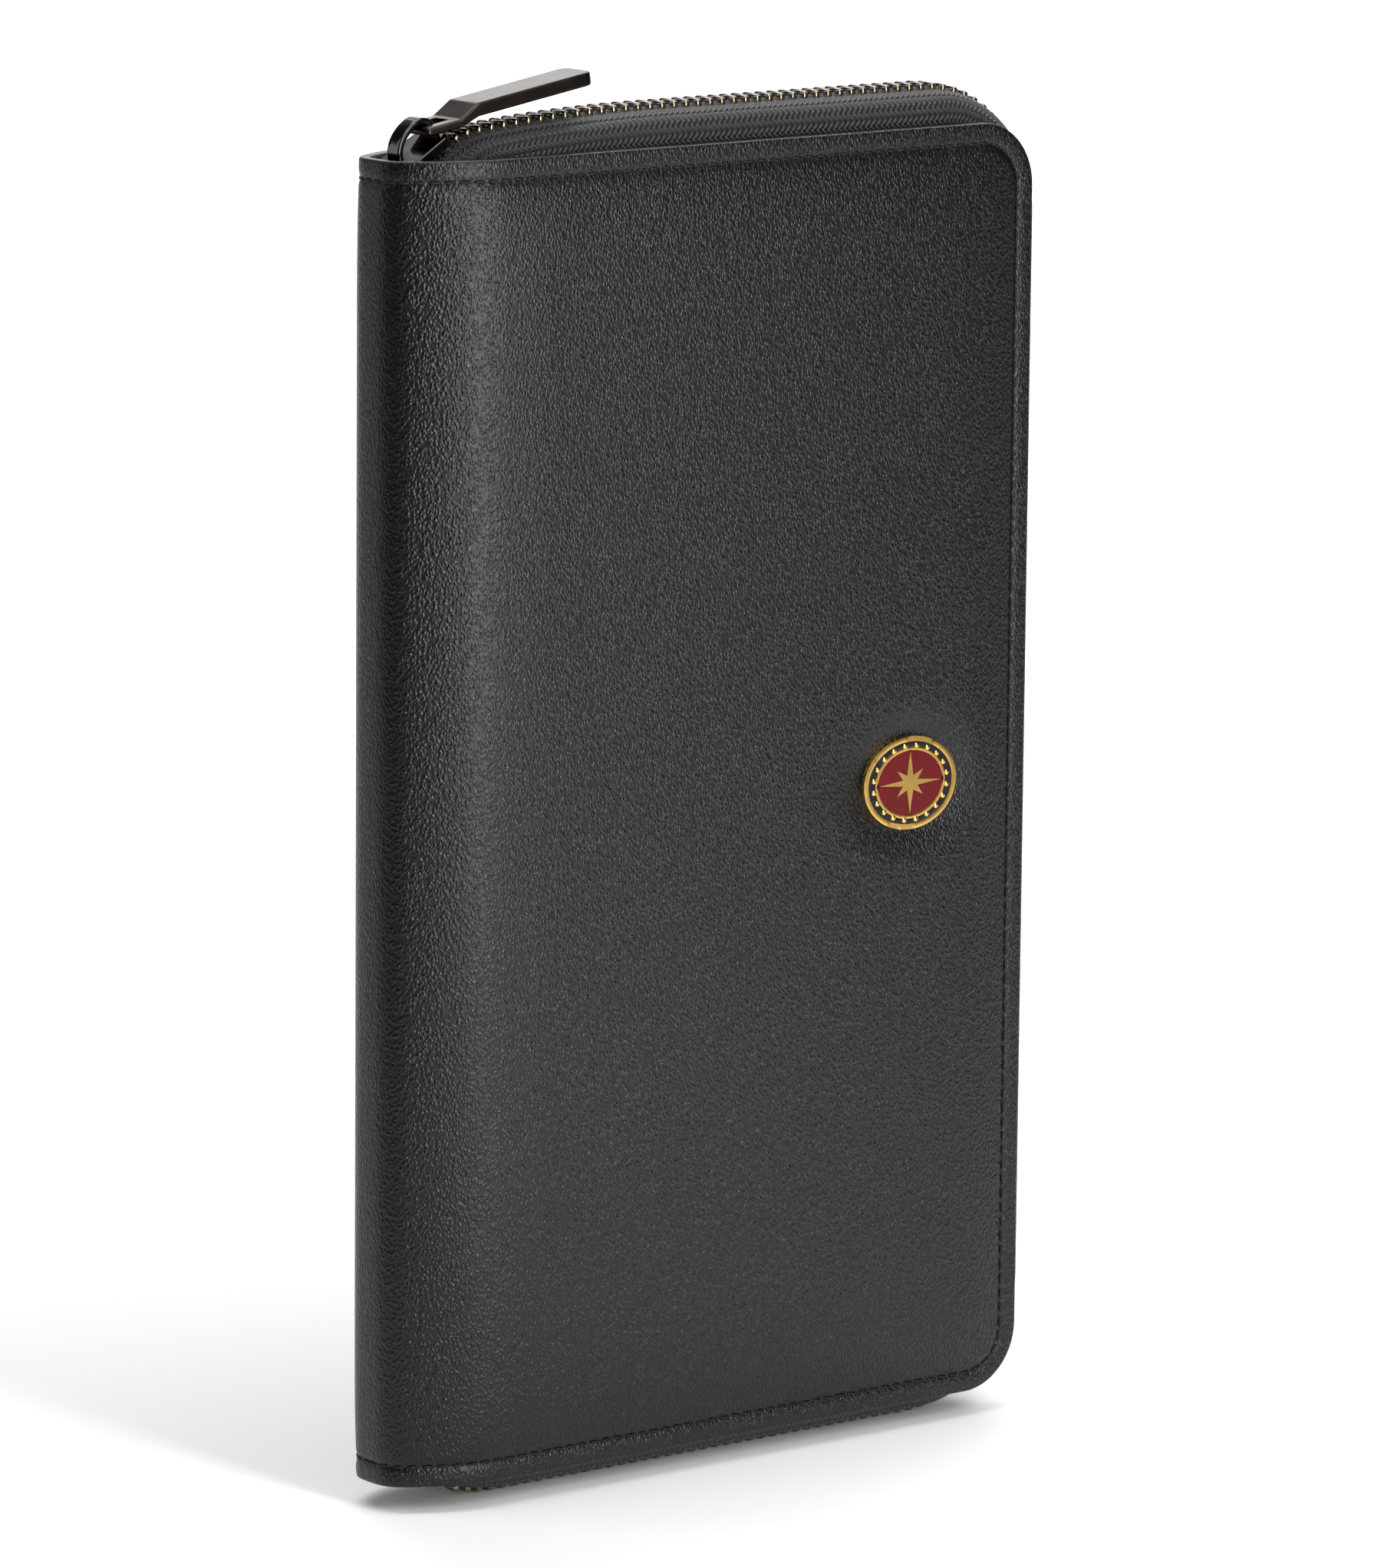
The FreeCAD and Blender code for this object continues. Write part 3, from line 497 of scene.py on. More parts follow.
thread = thread_material("Waxed polyester thread, black", "#020202", "#0c0c0d")


# %% Sew the covers
def seam_line(side):
    """The seam's polyline and outward normals on one half of the cover."""
    flat = ring_points(STITCH_INSET)
    step = 0.01 * MM
    seam, normals = [], []
    for u, z in flat:
        outer = Vector(wrap(u, z, 0.0, side))
        inner = Vector(wrap(u, z, step, side))
        seam.append(wrap(u, z, SEAM_DEPTH * RIM_DEPTH_COVER, side))
        normals.append((outer - inner).normalized())
    return seam, normals


front_stitches = dress(stitch_row("front_cover_stitches", [seam_line(-1)]), thread)
back_stitches = dress(stitch_row("back_cover_stitches", [seam_line(1)]), thread)
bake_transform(front_stitches)
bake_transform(back_stitches)
print("stitches in a half:", len(front_stitches.data.vertices) // 56)

# %% [markdown]
# ## The zip's path
# Tape, teeth and stops all follow one line, the crown of the chain. It leaves the slider sloping up, eases
# over, runs along the top, down the opening side and back along the bottom to the spine.

# %% The path and its stations
TOP_RISE = 7.0 * MM
SIDE_REACH = 7.0 * MM
SLIDER_TAIL_X = SPINE_X + 12.6 * MM
TAPE_LEAD = 8.6 * MM
DIP, EASE, END_TURN = math.radians(30), math.radians(6), math.radians(20)
DIP_RADIUS, EASE_RADIUS = 16 * MM, 380 * MM
ZIP_CORNER_RADIUS, END_RADIUS = 25 * MM, 45 * MM
END_FROM_SPINE = 10 * MM


def zip_steps():
    """The path as (radius or None, length) steps, clockwise from inside the slider."""
    rounding = EASE_RADIUS * math.sin(EASE) + DIP_RADIUS * (math.sin(DIP) - math.sin(EASE))
    corner_x = OPENING_X + SIDE_REACH - ZIP_CORNER_RADIUS
    side = TOP_Z + TOP_RISE - 2 * ZIP_CORNER_RADIUS
    bottom_end = SPINE_X + END_FROM_SPINE + END_RADIUS * math.sin(END_TURN)
    corner = (ZIP_CORNER_RADIUS, ZIP_CORNER_RADIUS * math.pi / 2)
    return [(None, TAPE_LEAD), (DIP_RADIUS, DIP_RADIUS * (DIP - EASE)), (EASE_RADIUS, EASE_RADIUS * EASE),
            (None, corner_x - SLIDER_TAIL_X - rounding), corner, (None, side), corner,
            (None, corner_x - bottom_end), (END_RADIUS, END_RADIUS * END_TURN)]


def zip_start():
    """Crown point at the path's start, inside the slider."""
    drop = EASE_RADIUS * (1 - math.cos(EASE)) + DIP_RADIUS * (math.cos(EASE) - math.cos(DIP))
    return (SLIDER_TAIL_X - TAPE_LEAD * math.cos(DIP), TOP_Z + TOP_RISE - drop - TAPE_LEAD * math.sin(DIP))


ZIP_LENGTH = sum(step[1] for step in zip_steps())


def zip_at(distance):
    """Crown point (x, z) and heading in radians at a distance along the path."""
    x, z = zip_start()
    heading = DIP
    for radius, length in zip_steps():
        part = min(distance, length)
        if radius is None:
            x += part * math.cos(heading)
            z += part * math.sin(heading)
        else:
            centre_x, centre_z = x + radius * math.sin(heading), z - radius * math.cos(heading)
            heading -= part / radius
            x, z = centre_x - radius * math.sin(heading), centre_z + radius * math.cos(heading)
        distance -= part
        if distance <= 0:
            break
    return x, z, heading


def zip_place(distance, along, across, depth, side):
    """Point at a place in the moving frame of the path; depth runs inward from the crown."""
    x, z, heading = zip_at(distance)
    return (x + along * math.cos(heading) + depth * math.sin(heading), Y_MID + side * across,
            z + along * math.sin(heading) - depth * math.cos(heading))


print("zip is", round(ZIP_LENGTH / MM), "mm long")

# %% [markdown]
# ## Zip tape
# Herringbone polyester tape 0.45 mm thick. Its inner edge carries a cord for the teeth to grip; the other
# edge is sewn between board and leather. It lies flat beside the teeth and then bends into the cover.

# %% Tape mesh
TAPE_FLAT = 4.2 * MM
TAPE_ROOT = 9.4 * MM
TAPE_THICK = 0.45 * MM
TAPE_DROP = 1.25 * MM
TAPE_END_DEPTH = 12.6 * MM
CORD_RADIUS = 0.45 * MM


def tape_profile():
    """The tape's closed section as (across, depth, arc length from the cord) points."""
    cord_across, cord_depth = 2.2 * MM, 1.15 * MM
    upright_depth = 8.5 * MM
    bend = TAPE_ROOT - TAPE_FLAT
    small = bend - TAPE_THICK
    outer_steps, inner_steps = 16, 8
    outer = []
    for degrees in range(110, 301, 19):
        angle = math.radians(degrees)
        outer.append((cord_across + CORD_RADIUS * math.cos(angle),
                      cord_depth + CORD_RADIUS * math.sin(angle)))
    outer += [(3.2 * MM, TAPE_DROP), (3.7 * MM, TAPE_DROP), (TAPE_FLAT, TAPE_DROP)]
    for i in range(1, outer_steps + 1):
        angle = math.pi / 2 * i / outer_steps
        outer.append((TAPE_FLAT + bend * math.sin(angle), TAPE_DROP + bend * (1 - math.cos(angle))))
    outer += [(TAPE_ROOT, upright_depth), (TAPE_ROOT, TAPE_END_DEPTH)]
    inner = [(TAPE_ROOT - TAPE_THICK, TAPE_END_DEPTH), (TAPE_ROOT - TAPE_THICK, upright_depth)]
    for i in range(inner_steps, -1, -1):
        angle = math.pi / 2 * i / inner_steps
        inner.append((TAPE_FLAT + small * math.sin(angle), TAPE_DROP + bend - small * math.cos(angle)))
    inner.append((3.0 * MM, TAPE_DROP + TAPE_THICK))
    section = outer + inner
    lengths = [0.0]
    for a, b in zip(section, section[1:]):
        lengths.append(lengths[-1] + math.dist(a, b))
    return [(a, d, v) for (a, d), v in zip(section, lengths)]


def tape_mesh(name, side):
    """Half of the tape, swept along the whole path."""
    section = tape_profile()
    count = len(section)
    stations = []
    reach = 0.0
    for radius, length in zip_steps():
        spacing = 1.2 * MM if radius and radius < 100 * MM else 4.0 * MM
        steps = max(2, round(length / spacing))
        stations += [reach + length * i / steps for i in range(steps)]
        reach += length
    stations.append(reach)
    points, uvs, faces = [], [], []
    for distance in stations:
        for across, depth, arc in section:
            points.append(zip_place(distance, 0.0, across, depth, side))
            uvs.append((distance, arc))
    for i in range(len(stations) - 1):
        for k in range(count):
            a, b = i * count + k, i * count + (k + 1) % count
            quad = (a, a + count, b + count, b)
            faces.append(quad if side > 0 else quad[::-1])
    first = list(range(count))
    last = [(len(stations) - 1) * count + k for k in range(count)]
    faces.append(first if side > 0 else first[::-1])
    faces.append(last[::-1] if side > 0 else last)
    return new_mesh(name, points, faces, uvs)


# %% Tape material
HERRINGBONE_ROW = 1.3 * MM
HERRINGBONE_YARN = 1.25 * MM


def tape_material():
    """Herringbone weave: slanting yarns that turn back at every row."""
    material, tree, shader = new_material("Herringbone polyester zip tape, dyed black", Roughness=0.45,
                                          Specular_IOR_Level=0.4, Sheen_Weight=0.04, Sheen_Roughness=0.4)
    place = add_node(tree, "ShaderNodeUVMap")
    noise = add_node(tree, "ShaderNodeTexNoise", {"Scale": 900.0, "Detail": 2.0},
                     {"Vector": place.outputs["UV"]})
    shift = add_node(tree, "ShaderNodeVectorMath", {"operation": "SCALE", "Scale": 0.12 * MM},
                     {0: noise.outputs["Color"]})
    moved = add_node(tree, "ShaderNodeVectorMath", {"operation": "ADD"},
                     {0: place.outputs["UV"], 1: shift.outputs["Vector"]})
    split = add_node(tree, "ShaderNodeSeparateXYZ", None, {0: moved.outputs["Vector"]})
    fold = add_node(tree, "ShaderNodeMath", {"operation": "PINGPONG", 1: HERRINGBONE_ROW},
                    {0: split.outputs["Y"]})
    slant = add_node(tree, "ShaderNodeMath", {"operation": "MULTIPLY_ADD", 1: 0.9},
                     {0: fold.outputs["Value"], 2: split.outputs["X"]})
    yarn = add_node(tree, "ShaderNodeMath", {"operation": "PINGPONG", 1: HERRINGBONE_YARN / 2},
                    {0: slant.outputs["Value"]})
    yarn_level = add_node(tree, "ShaderNodeMapRange", {"From Max": HERRINGBONE_YARN / 2,
                                                       "interpolation_type": "SMOOTHSTEP"},
                          {"Value": yarn.outputs["Value"]})
    edge = add_node(tree, "ShaderNodeMath", {"operation": "PINGPONG", 1: HERRINGBONE_ROW / 2},
                    {0: split.outputs["Y"]})
    edge_level = add_node(tree, "ShaderNodeMapRange", {"From Max": HERRINGBONE_ROW / 3, "To Min": 0.25},
                          {"Value": edge.outputs["Value"]})
    weave = add_node(tree, "ShaderNodeMath", {"operation": "MULTIPLY"},
                     {0: yarn_level.outputs["Result"], 1: edge_level.outputs["Result"]})
    # The weave's relief comes from the bump. The lighter grey on the raised yarns is a painted highlight on
    # the black tape.
    tint = add_node(tree, "ShaderNodeMix", {"data_type": "RGBA", 6: colour("#020203"), 7: colour("#2e2e31")},
                    {0: weave.outputs["Value"]})
    bump = add_node(tree, "ShaderNodeBump", {"Strength": 1.0, "Distance": 0.4 * MM},
                    {"Height": weave.outputs["Value"]})
    tree.links.new(tint.outputs[2], shader.inputs["Base Color"])
    tree.links.new(bump.outputs["Normal"], shader.inputs["Normal"])
    return material


tape_cloth = tape_material()
tape_flat_width = next(arc for across, depth, arc in tape_profile() if depth == TAPE_END_DEPTH)
for name, side, body in (("front_zip_tape_cloth", -1, "front_cover"),
                         ("back_zip_tape_cloth", 1, "back_cover")):
    tape = dress(tape_mesh(name, side), tape_cloth)
    node = "zip_tape_front" if side < 0 else "zip_tape_back"
    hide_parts(node)
    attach(tape, body)
print("tape is", round(tape_flat_width / MM, 1), "mm wide")

# %% [markdown]
# ## Zip teeth
# Stamped brass teeth with black nickel plating. Each has a broad foot crimped on the cord and a narrower
# head that sits between two heads of the other row. The feet get a patchy light brass colour, a painted
# glint.

# %% Teeth and stops
TOOTH_PITCH = 2.75 * MM
TOOTH_STATIONS = [  # across, half length, top depth, bottom depth, in mm
    (3.12, 0.34, 0.50, 1.25), (3.04, 0.54, 0.25, 1.50), (2.75, 0.62, 0.08, 1.66), (2.1, 0.62, 0.0, 1.70),
    (1.2, 0.58, 0.0, 1.70), (0.5, 0.48, 0.06, 1.60), (0.0, 0.45, 0.14, 1.52), (-0.38, 0.40, 0.24, 1.42),
    (-0.54, 0.24, 0.48, 1.2),
]
STOP_STATIONS = [(3.7, 0.8, 0.4, 1.3), (3.6, 1.0, 0.2, 1.6), (2.0, 1.0, 0.2, 1.6), (1.85, 0.8, 0.4, 1.3)]
TEETH_START_IN_SLIDER = 5.0 * MM
STOP_FROM_END = 1.0 * MM
SECTION_SIDES = 12


def squared(value):
    """A sine or cosine pushed outward, so that a circle of them becomes a rounded square."""
    return math.copysign(abs(value) ** 0.55, value)


SECTION_ANGLES = [2 * math.pi * (k + 0.5) / SECTION_SIDES for k in range(SECTION_SIDES)]
TOOTH_SECTION = [(squared(math.cos(a)), squared(math.sin(a))) for a in SECTION_ANGLES]


def lozenges(name, places, side):
    """Rounded bars across the zip's path; places are (distance, stations)."""
    points, uvs, faces = [], [], []
    count = len(TOOTH_SECTION)
    for distance, stations in places:
        first = len(points)
        for across, half, top, bottom in stations:
            middle, tall = (top + bottom) / 2, (bottom - top) / 2
            for lengthwise, upward in TOOTH_SECTION:
                depth = (middle - tall * upward) * MM
                points.append(zip_place(distance, half * lengthwise * MM, across * MM, depth, side))
                uvs.append((across * MM, depth))
        for i in range(len(stations) - 1):
            for k in range(count):
                a, b = first + i * count + k, first + i * count + (k + 1) % count
                quad = (a, b, b + count, a + count)
                faces.append(quad if side > 0 else quad[::-1])
        start = [first + k for k in range(count)]
        end = [first + (len(stations) - 1) * count + k for k in range(count)]
        faces.append(start[::-1] if side > 0 else start)
        faces.append(end if side > 0 else end[::-1])
    return new_mesh(name, points, faces, uvs)


def teeth_row(name, side, offset):
    """One row of teeth with a stop at each end."""
    first = TAPE_LEAD - TEETH_START_IN_SLIDER + TOOTH_PITCH + offset
    last = ZIP_LENGTH - 2 * STOP_FROM_END - TOOTH_PITCH
    count = int((last - first) / TOOTH_PITCH) + 1
    places = [(first + i * TOOTH_PITCH, TOOTH_STATIONS) for i in range(count)]
    places += [(STOP_FROM_END, STOP_STATIONS), (ZIP_LENGTH - STOP_FROM_END, STOP_STATIONS)]
    return lozenges(name, places, side)


def teeth_material():
    """Black nickel on brass, with a patchy light brass colour painted on the feet as a glint."""
    material, tree, shader = new_material("Black nickel plated brass teeth, painted glint at feet", Metallic=1.0,
                                          Roughness=0.16)
    place = add_node(tree, "ShaderNodeUVMap")
    split = add_node(tree, "ShaderNodeSeparateXYZ", None, {0: place.outputs["UV"]})
    foot = add_node(tree, "ShaderNodeMapRange", {"From Min": 2.7 * MM, "From Max": 3.1 * MM},
                    {"Value": split.outputs["X"]})
    spots = add_node(tree, "ShaderNodeTexNoise", {"Scale": 500.0, "Detail": 2.0},
                     {"Vector": place.outputs["UV"]})
    # Painted glint: patches of light brass colour on the teeth's feet.
    foot_glint = add_node(tree, "ShaderNodeMath", {"operation": "MULTIPLY"},
                    {0: foot.outputs["Result"], 1: spots.outputs["Fac"]})
    tint = add_node(tree, "ShaderNodeMix", {"data_type": "RGBA", 6: colour("#6f6a68"), 7: colour("#c9b084")},
                    {0: foot_glint.outputs["Value"]})
    tree.links.new(tint.outputs[2], shader.inputs["Base Color"])
    return material


teeth_metal = teeth_material()
for name, side, offset, node, body in (
        ("front_zip_teeth_rounded", -1, TOOTH_PITCH / 2, "zip_teeth_front", "front_cover"),
        ("back_zip_teeth_rounded", 1, 0.0, "zip_teeth_back", "back_cover")):
    row = dress(teeth_row(name, side, offset), teeth_metal)
    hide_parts(node)
    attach(row, body)
print("teeth in a row:", len(row.data.vertices) // (len(TOOTH_SECTION) * len(TOOTH_STATIONS)))

# %% [markdown]
# ## Plated metal
# The slider, bridge, puller and badge keep their CAD shape. Each is copied, its split vertices are joined
# again, and its edges get a soft, slightly rounded shading, as polished castings have.

# %% Copy a CAD node as a polished piece
def polished(node_name, name, material, body, edge=0.12 * MM, flat_faces=True):
    """A welded, bevelled and smooth-shaded copy of a CAD node that takes its place."""
    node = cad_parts[node_name]
    mesh = node.data.copy()
    mesh.name = name
    work = bmesh.new()
    work.from_mesh(mesh)
    bmesh.ops.transform(work, matrix=node.matrix_world, verts=work.verts)
    bmesh.ops.remove_doubles(work, verts=work.verts, dist=0.002 * MM)
    if flat_faces:
        bmesh.ops.dissolve_limit(work, angle_limit=math.radians(0.6), verts=work.verts, edges=work.edges)
    sharp = [e for e in work.edges if len(e.link_faces) == 2 and e.calc_face_angle(0.0) > math.radians(35)]
    bmesh.ops.bevel(work, geom=sharp, offset=edge, segments=3, profile=0.5, affect="EDGES",
                    clamp_overlap=True)
    bmesh.ops.triangulate(work, faces=[f for f in work.faces if len(f.verts) > 4])
    bmesh.ops.recalc_face_normals(work, faces=work.faces)
    work.to_mesh(mesh)
    work.free()
    mesh.polygons.foreach_set("use_smooth", [True] * len(mesh.polygons))
    piece = bpy.data.objects.new(name, mesh)
    bpy.context.scene.collection.objects.link(piece)
    weighted = piece.modifiers.new("weighted normals", "WEIGHTED_NORMAL")
    weighted.weight = 100
    dress(piece, material)
    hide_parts(node_name)
    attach(piece, body)
    return piece


def metal_material(name, base, bright, roughness, brushed_mm=0.0):
    """Polished plating with faint cloudy wear; brushed_mm adds fine lines of that spacing."""
    material, tree, shader = new_material(name, Metallic=1.0, Roughness=roughness)
    place = add_node(tree, "ShaderNodeTexCoord")
    clouds = add_node(tree, "ShaderNodeTexNoise", {"Scale": 260.0, "Detail": 4.0},
                      {"Vector": place.outputs["Object"]})
    tint = add_node(tree, "ShaderNodeMix", {"data_type": "RGBA", 6: colour(base), 7: colour(bright)},
                    {0: clouds.outputs["Fac"]})
    gloss = add_node(tree, "ShaderNodeMapRange", {"To Min": roughness - 0.05, "To Max": roughness + 0.07},
                     {"Value": clouds.outputs["Fac"]})
    tree.links.new(tint.outputs[2], shader.inputs["Base Color"])
    tree.links.new(gloss.outputs["Result"], shader.inputs["Roughness"])
    if brushed_mm:
        lines = add_node(tree, "ShaderNodeMapping", {"Scale": (1.0, 40.0, 40.0)},
                         {"Vector": place.outputs["Object"]})
        grain = add_node(tree, "ShaderNodeTexNoise", {"Scale": 0.02 / (brushed_mm * MM), "Detail": 3.0},
                         {"Vector": lines.outputs["Vector"]})
        bump = add_node(tree, "ShaderNodeBump", {"Strength": 0.25, "Distance": 0.01 * MM},
                        {"Height": grain.outputs["Fac"]})
        tree.links.new(bump.outputs["Normal"], shader.inputs["Normal"])
    return material


slider_plating = metal_material("Black nickel plating on cast zinc, polished", "#3d3a38", "#4a4745", 0.10)
puller_plating = metal_material("Gunmetal plating on cast zinc, brushed", "#352e2b", "#433b37", 0.2, 0.2)
polished("slider_body", "slider_body_cast", slider_plating, "slider")
polished("slider_bridge", "slider_bridge_cast", slider_plating, "slider")
polished("zip_puller", "zip_puller_cast", puller_plating, "puller")

# %% [markdown]
# ## The badge
# A struck brass badge, gold plated, with hard enamel in its recesses: a dark ring and a red field around a
# star. Hard enamel is ground flush and slightly domed by firing, so it has a clear glossy coat.

# %% Badge pieces
def enamel_material(name, base, bright):
    """Fired glass enamel: deep colour with faint clouds under a clear gloss."""
    material, tree, shader = new_material(name, Roughness=0.3, IOR=1.5, Specular_IOR_Level=0.25,
                                          Coat_Weight=0.2, Coat_Roughness=0.06)
    place = add_node(tree, "ShaderNodeTexCoord")
    clouds = add_node(tree, "ShaderNodeTexNoise", {"Scale": 700.0, "Detail": 3.0},
                      {"Vector": place.outputs["Object"]})
    tint = add_node(tree, "ShaderNodeMix", {"data_type": "RGBA", 6: colour(base), 7: colour(bright)},
                    {0: clouds.outputs["Fac"]})
    tree.links.new(tint.outputs[2], shader.inputs["Base Color"])
    return material


gold = metal_material("Gold plated brass, struck and polished", "#dcae52", "#eec777", 0.2)
dark_enamel = enamel_material("Hard glass enamel, black", "#0d0a0c", "#1b1518")
red_enamel = enamel_material("Hard glass enamel, deep red", "#4a0205", "#62050a")
polished("badge_plate", "badge_plate_struck", gold, "front_cover", 0.1 * MM, False)
polished("badge_enamel_ring", "badge_ring_enamel", dark_enamel, "front_cover",
         0.06 * MM, False)
polished("badge_enamel_field", "badge_field_enamel", red_enamel, "front_cover",
         0.06 * MM, False)


def badge_studs():
    """Small gold domes set in the badge's dark ring."""
    centre = (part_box("badge_plate")[0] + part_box("badge_plate")[1]) / 2
    face_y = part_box("badge_plate")[0].y
    count, radius, rise, sunk = 20, 0.55 * MM, 0.3 * MM, 0.02 * MM
    rings, sides = 5, 12
    width, height = 0.80 * BADGE_HALF_WIDTH, 0.80 * BADGE_HALF_HEIGHT
    points, faces = [], []
    for i in range(count):
        angle = 2 * math.pi * (i + 0.5) / count
        x, z = centre.x + width * math.sin(angle), centre.z + height * math.cos(angle)
        first = len(points)
        for ring in range(rings):
            tilt = math.pi / 2 * ring / rings
            for k in range(sides):
                around = 2 * math.pi * k / sides
                reach = radius * math.cos(tilt)
                points.append((x + reach * math.cos(around), face_y + sunk - rise * math.sin(tilt),
                               z + reach * math.sin(around)))
        points.append((x, face_y + sunk - rise, z))
        for ring in range(rings - 1):
            for k in range(sides):
                a, b = first + ring * sides + k, first + ring * sides + (k + 1) % sides
                faces.append((a, b, b + sides, a + sides))
        top = first + (rings - 1) * sides
        for k in range(sides):
            faces.append((top + k, top + (k + 1) % sides, top + sides))
    return new_mesh("badge_ring_studs", points, faces)


studs = dress(badge_studs(), gold)
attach(studs, "front_cover")

# %% [markdown]
# ## Inside the covers
# Between leather and lining lie a foam pad and a stiffener board. Linings are woven cloth pulled flat; the
# pockets are thin leather panels sewn on three sides, with a turned top edge.

# %% A flat panel with soft edges
def panel(name, x_range, z_range, outer_y, thick, into, corner, edge):
    """A rounded slab; outer_y is its visible face, into (+1 or -1) points from that face to its back."""
    (x0, x1), (z0, z1) = x_range, z_range
    insets = [0.0, 0.0, 0.15 * edge, 0.5 * edge, edge, 2.2 * edge, 5 * edge, 12 * edge]
    depths = [0.62, 0.38, 0.14, 0.03, 0.0, 0.0, 0.0, 0.0]
    half = min(x1 - x0, z1 - z0) / 2
    reach = np.linspace(12 * edge, half - 2 * MM, 9)[1:] if half - 2 * MM > 13 * edge else []
    insets += list(reach)
    depths += [0.0] * len(reach)
    count_side, count_corner = 22, 6

    def outline(inset):
        radius = max(corner - inset, 0.3 * MM)
        a0, a1, b0, b1 = x0 + inset, x1 - inset, z0 + inset, z1 - inset
        flat = []
        for cx, cz, start in ((a1 - radius, b0 + radius, -90), (a1 - radius, b1 - radius, 0),
                              (a0 + radius, b1 - radius, 90), (a0 + radius, b0 + radius, 180)):
            for i in range(count_corner):
                angle = math.radians(start + 90 * i / (count_corner - 1))
                flat.append((cx + radius * math.cos(angle), cz + radius * math.sin(angle)))
            nx, nz = {-90: (a1, b1 - radius), 0: (a0 + radius, b1),
                      90: (a0, b0 + radius), 180: (a1 - radius, b0)}[start]
            last = flat[-1]
            shares = [i / count_side for i in range(1, count_side)]
            flat += [(last[0] + (nx - last[0]) * t, last[1] + (nz - last[1]) * t) for t in shares]
        return flat

    points, uvs, faces = [], [], []
    loops = list(zip(insets, depths))
    back = [(i, 1.0 - d) for i, d in zip(insets, depths)][1:]
    for inset, depth in loops[::-1] + back:
        for x, z in outline(inset):
            points.append((x, outer_y + into * depth * thick, z))
            uvs.append((x, z))
    count = len(outline(0.0))
    rows = len(loops) + len(back)
    for row in range(rows - 1):
        for k in range(count):
            a, b = row * count + k, row * count + (k + 1) % count
            quad = (a, b, b + count, a + count)
            faces.append(quad if into < 0 else quad[::-1])
    start = list(range(count))
    end = [(rows - 1) * count + k for k in range(count)]
    faces.append(start[::-1] if into < 0 else start)
    faces.append(end if into < 0 else end[::-1])
    return new_mesh(name, points, faces, uvs)


def weave_material(name, base, bright, yarn_mm, roughness=0.8, sheen=0.2):
    """Plain weave: over-and-under yarns of a given spacing."""
    material, tree, shader = new_material(name, Roughness=roughness, Specular_IOR_Level=0.25,
                                          Sheen_Weight=sheen, Sheen_Roughness=0.5)
    place = add_node(tree, "ShaderNodeUVMap")
    noise = add_node(tree, "ShaderNodeTexNoise", {"Scale": 300.0, "Detail": 3.0},
                     {"Vector": place.outputs["UV"]})
    split = add_node(tree, "ShaderNodeSeparateXYZ", None, {0: place.outputs["UV"]})
    waves = []
    for axis in ("X", "Y"):
        phase = add_node(tree, "ShaderNodeMath", {"operation": "MULTIPLY", 1: math.pi / (yarn_mm * MM)},
                         {0: split.outputs[axis]})
        waves.append(add_node(tree, "ShaderNodeMath", {"operation": "SINE"}, {0: phase.outputs["Value"]}))
    cross = add_node(tree, "ShaderNodeMath", {"operation": "MULTIPLY"},
                     {0: waves[0].outputs["Value"], 1: waves[1].outputs["Value"]})
    level = add_node(tree, "ShaderNodeMapRange", {"From Min": -1.0}, {"Value": cross.outputs["Value"]})
    mixed = add_node(tree, "ShaderNodeMath", {"operation": "MULTIPLY"},
                     {0: level.outputs["Result"], 1: noise.outputs["Fac"]})
    tint = add_node(tree, "ShaderNodeMix", {"data_type": "RGBA", 6: colour(base), 7: colour(bright)},
                    {0: mixed.outputs["Value"]})
    bump = add_node(tree, "ShaderNodeBump", {"Strength": 0.7, "Distance": 0.08 * MM},
                    {"Height": level.outputs["Result"]})
    tree.links.new(tint.outputs[2], shader.inputs["Base Color"])
    tree.links.new(bump.outputs["Normal"], shader.inputs["Normal"])
    return material


def fibre_material(name, base, bright, scale, roughness=0.9):
    """Pressed fibres or foam: fine speckle at one scale."""
    material, tree, shader = new_material(name, Roughness=roughness, Specular_IOR_Level=0.2)
    place = add_node(tree, "ShaderNodeTexCoord")
    speckle = add_node(tree, "ShaderNodeTexNoise", {"Scale": scale, "Detail": 5.0, "Roughness": 0.7},
                       {"Vector": place.outputs["Object"]})
    tint = add_node(tree, "ShaderNodeMix", {"data_type": "RGBA", 6: colour(base), 7: colour(bright)},
                    {0: speckle.outputs["Fac"]})
    bump = add_node(tree, "ShaderNodeBump", {"Strength": 0.4, "Distance": 0.05 * MM},
                    {"Height": speckle.outputs["Fac"]})
    tree.links.new(tint.outputs[2], shader.inputs["Base Color"])
    tree.links.new(bump.outputs["Normal"], shader.inputs["Normal"])
    return material


foam_felt = fibre_material("Padding foam, grey", "#76767a", "#9c9ca0", 1500.0)
# Painted shade: the board is coloured black so that any of its edge that shows reads as shade.
stiffener = fibre_material("Pressed fibre stiffener board, black as painted shade", "#121110", "#211f1d", 900.0)
lining_cloth = weave_material("Woven polyester lining, black", "#0c0c0e", "#2b2b2f", 0.35)
elastic = weave_material("Elastic webbing, black", "#0b0b0c", "#2a2a2c", 0.6, 0.85, 0.1)
washer_steel = metal_material("Plain steel washers, zinc plated", "#a8a8a8", "#c2c2c2", 0.35)
pocket_calf = leather_material("Printed calf leather for pockets, black, satin", "#080809", "#161618",
                               (0.36, 0.55), 0.7, 0.06)

for node_name in ("front_stiffener_board", "back_stiffener_board", "spine_board"):
    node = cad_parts[node_name]
    node.data.materials.clear()
    node.data.materials.append(stiffener)
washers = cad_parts["badge_washers"]
washers.data.materials.clear()
washers.data.materials.append(washer_steel)


# %% Foam pads, linings and pockets
PANEL_FROM_SPINE = 13 * MM


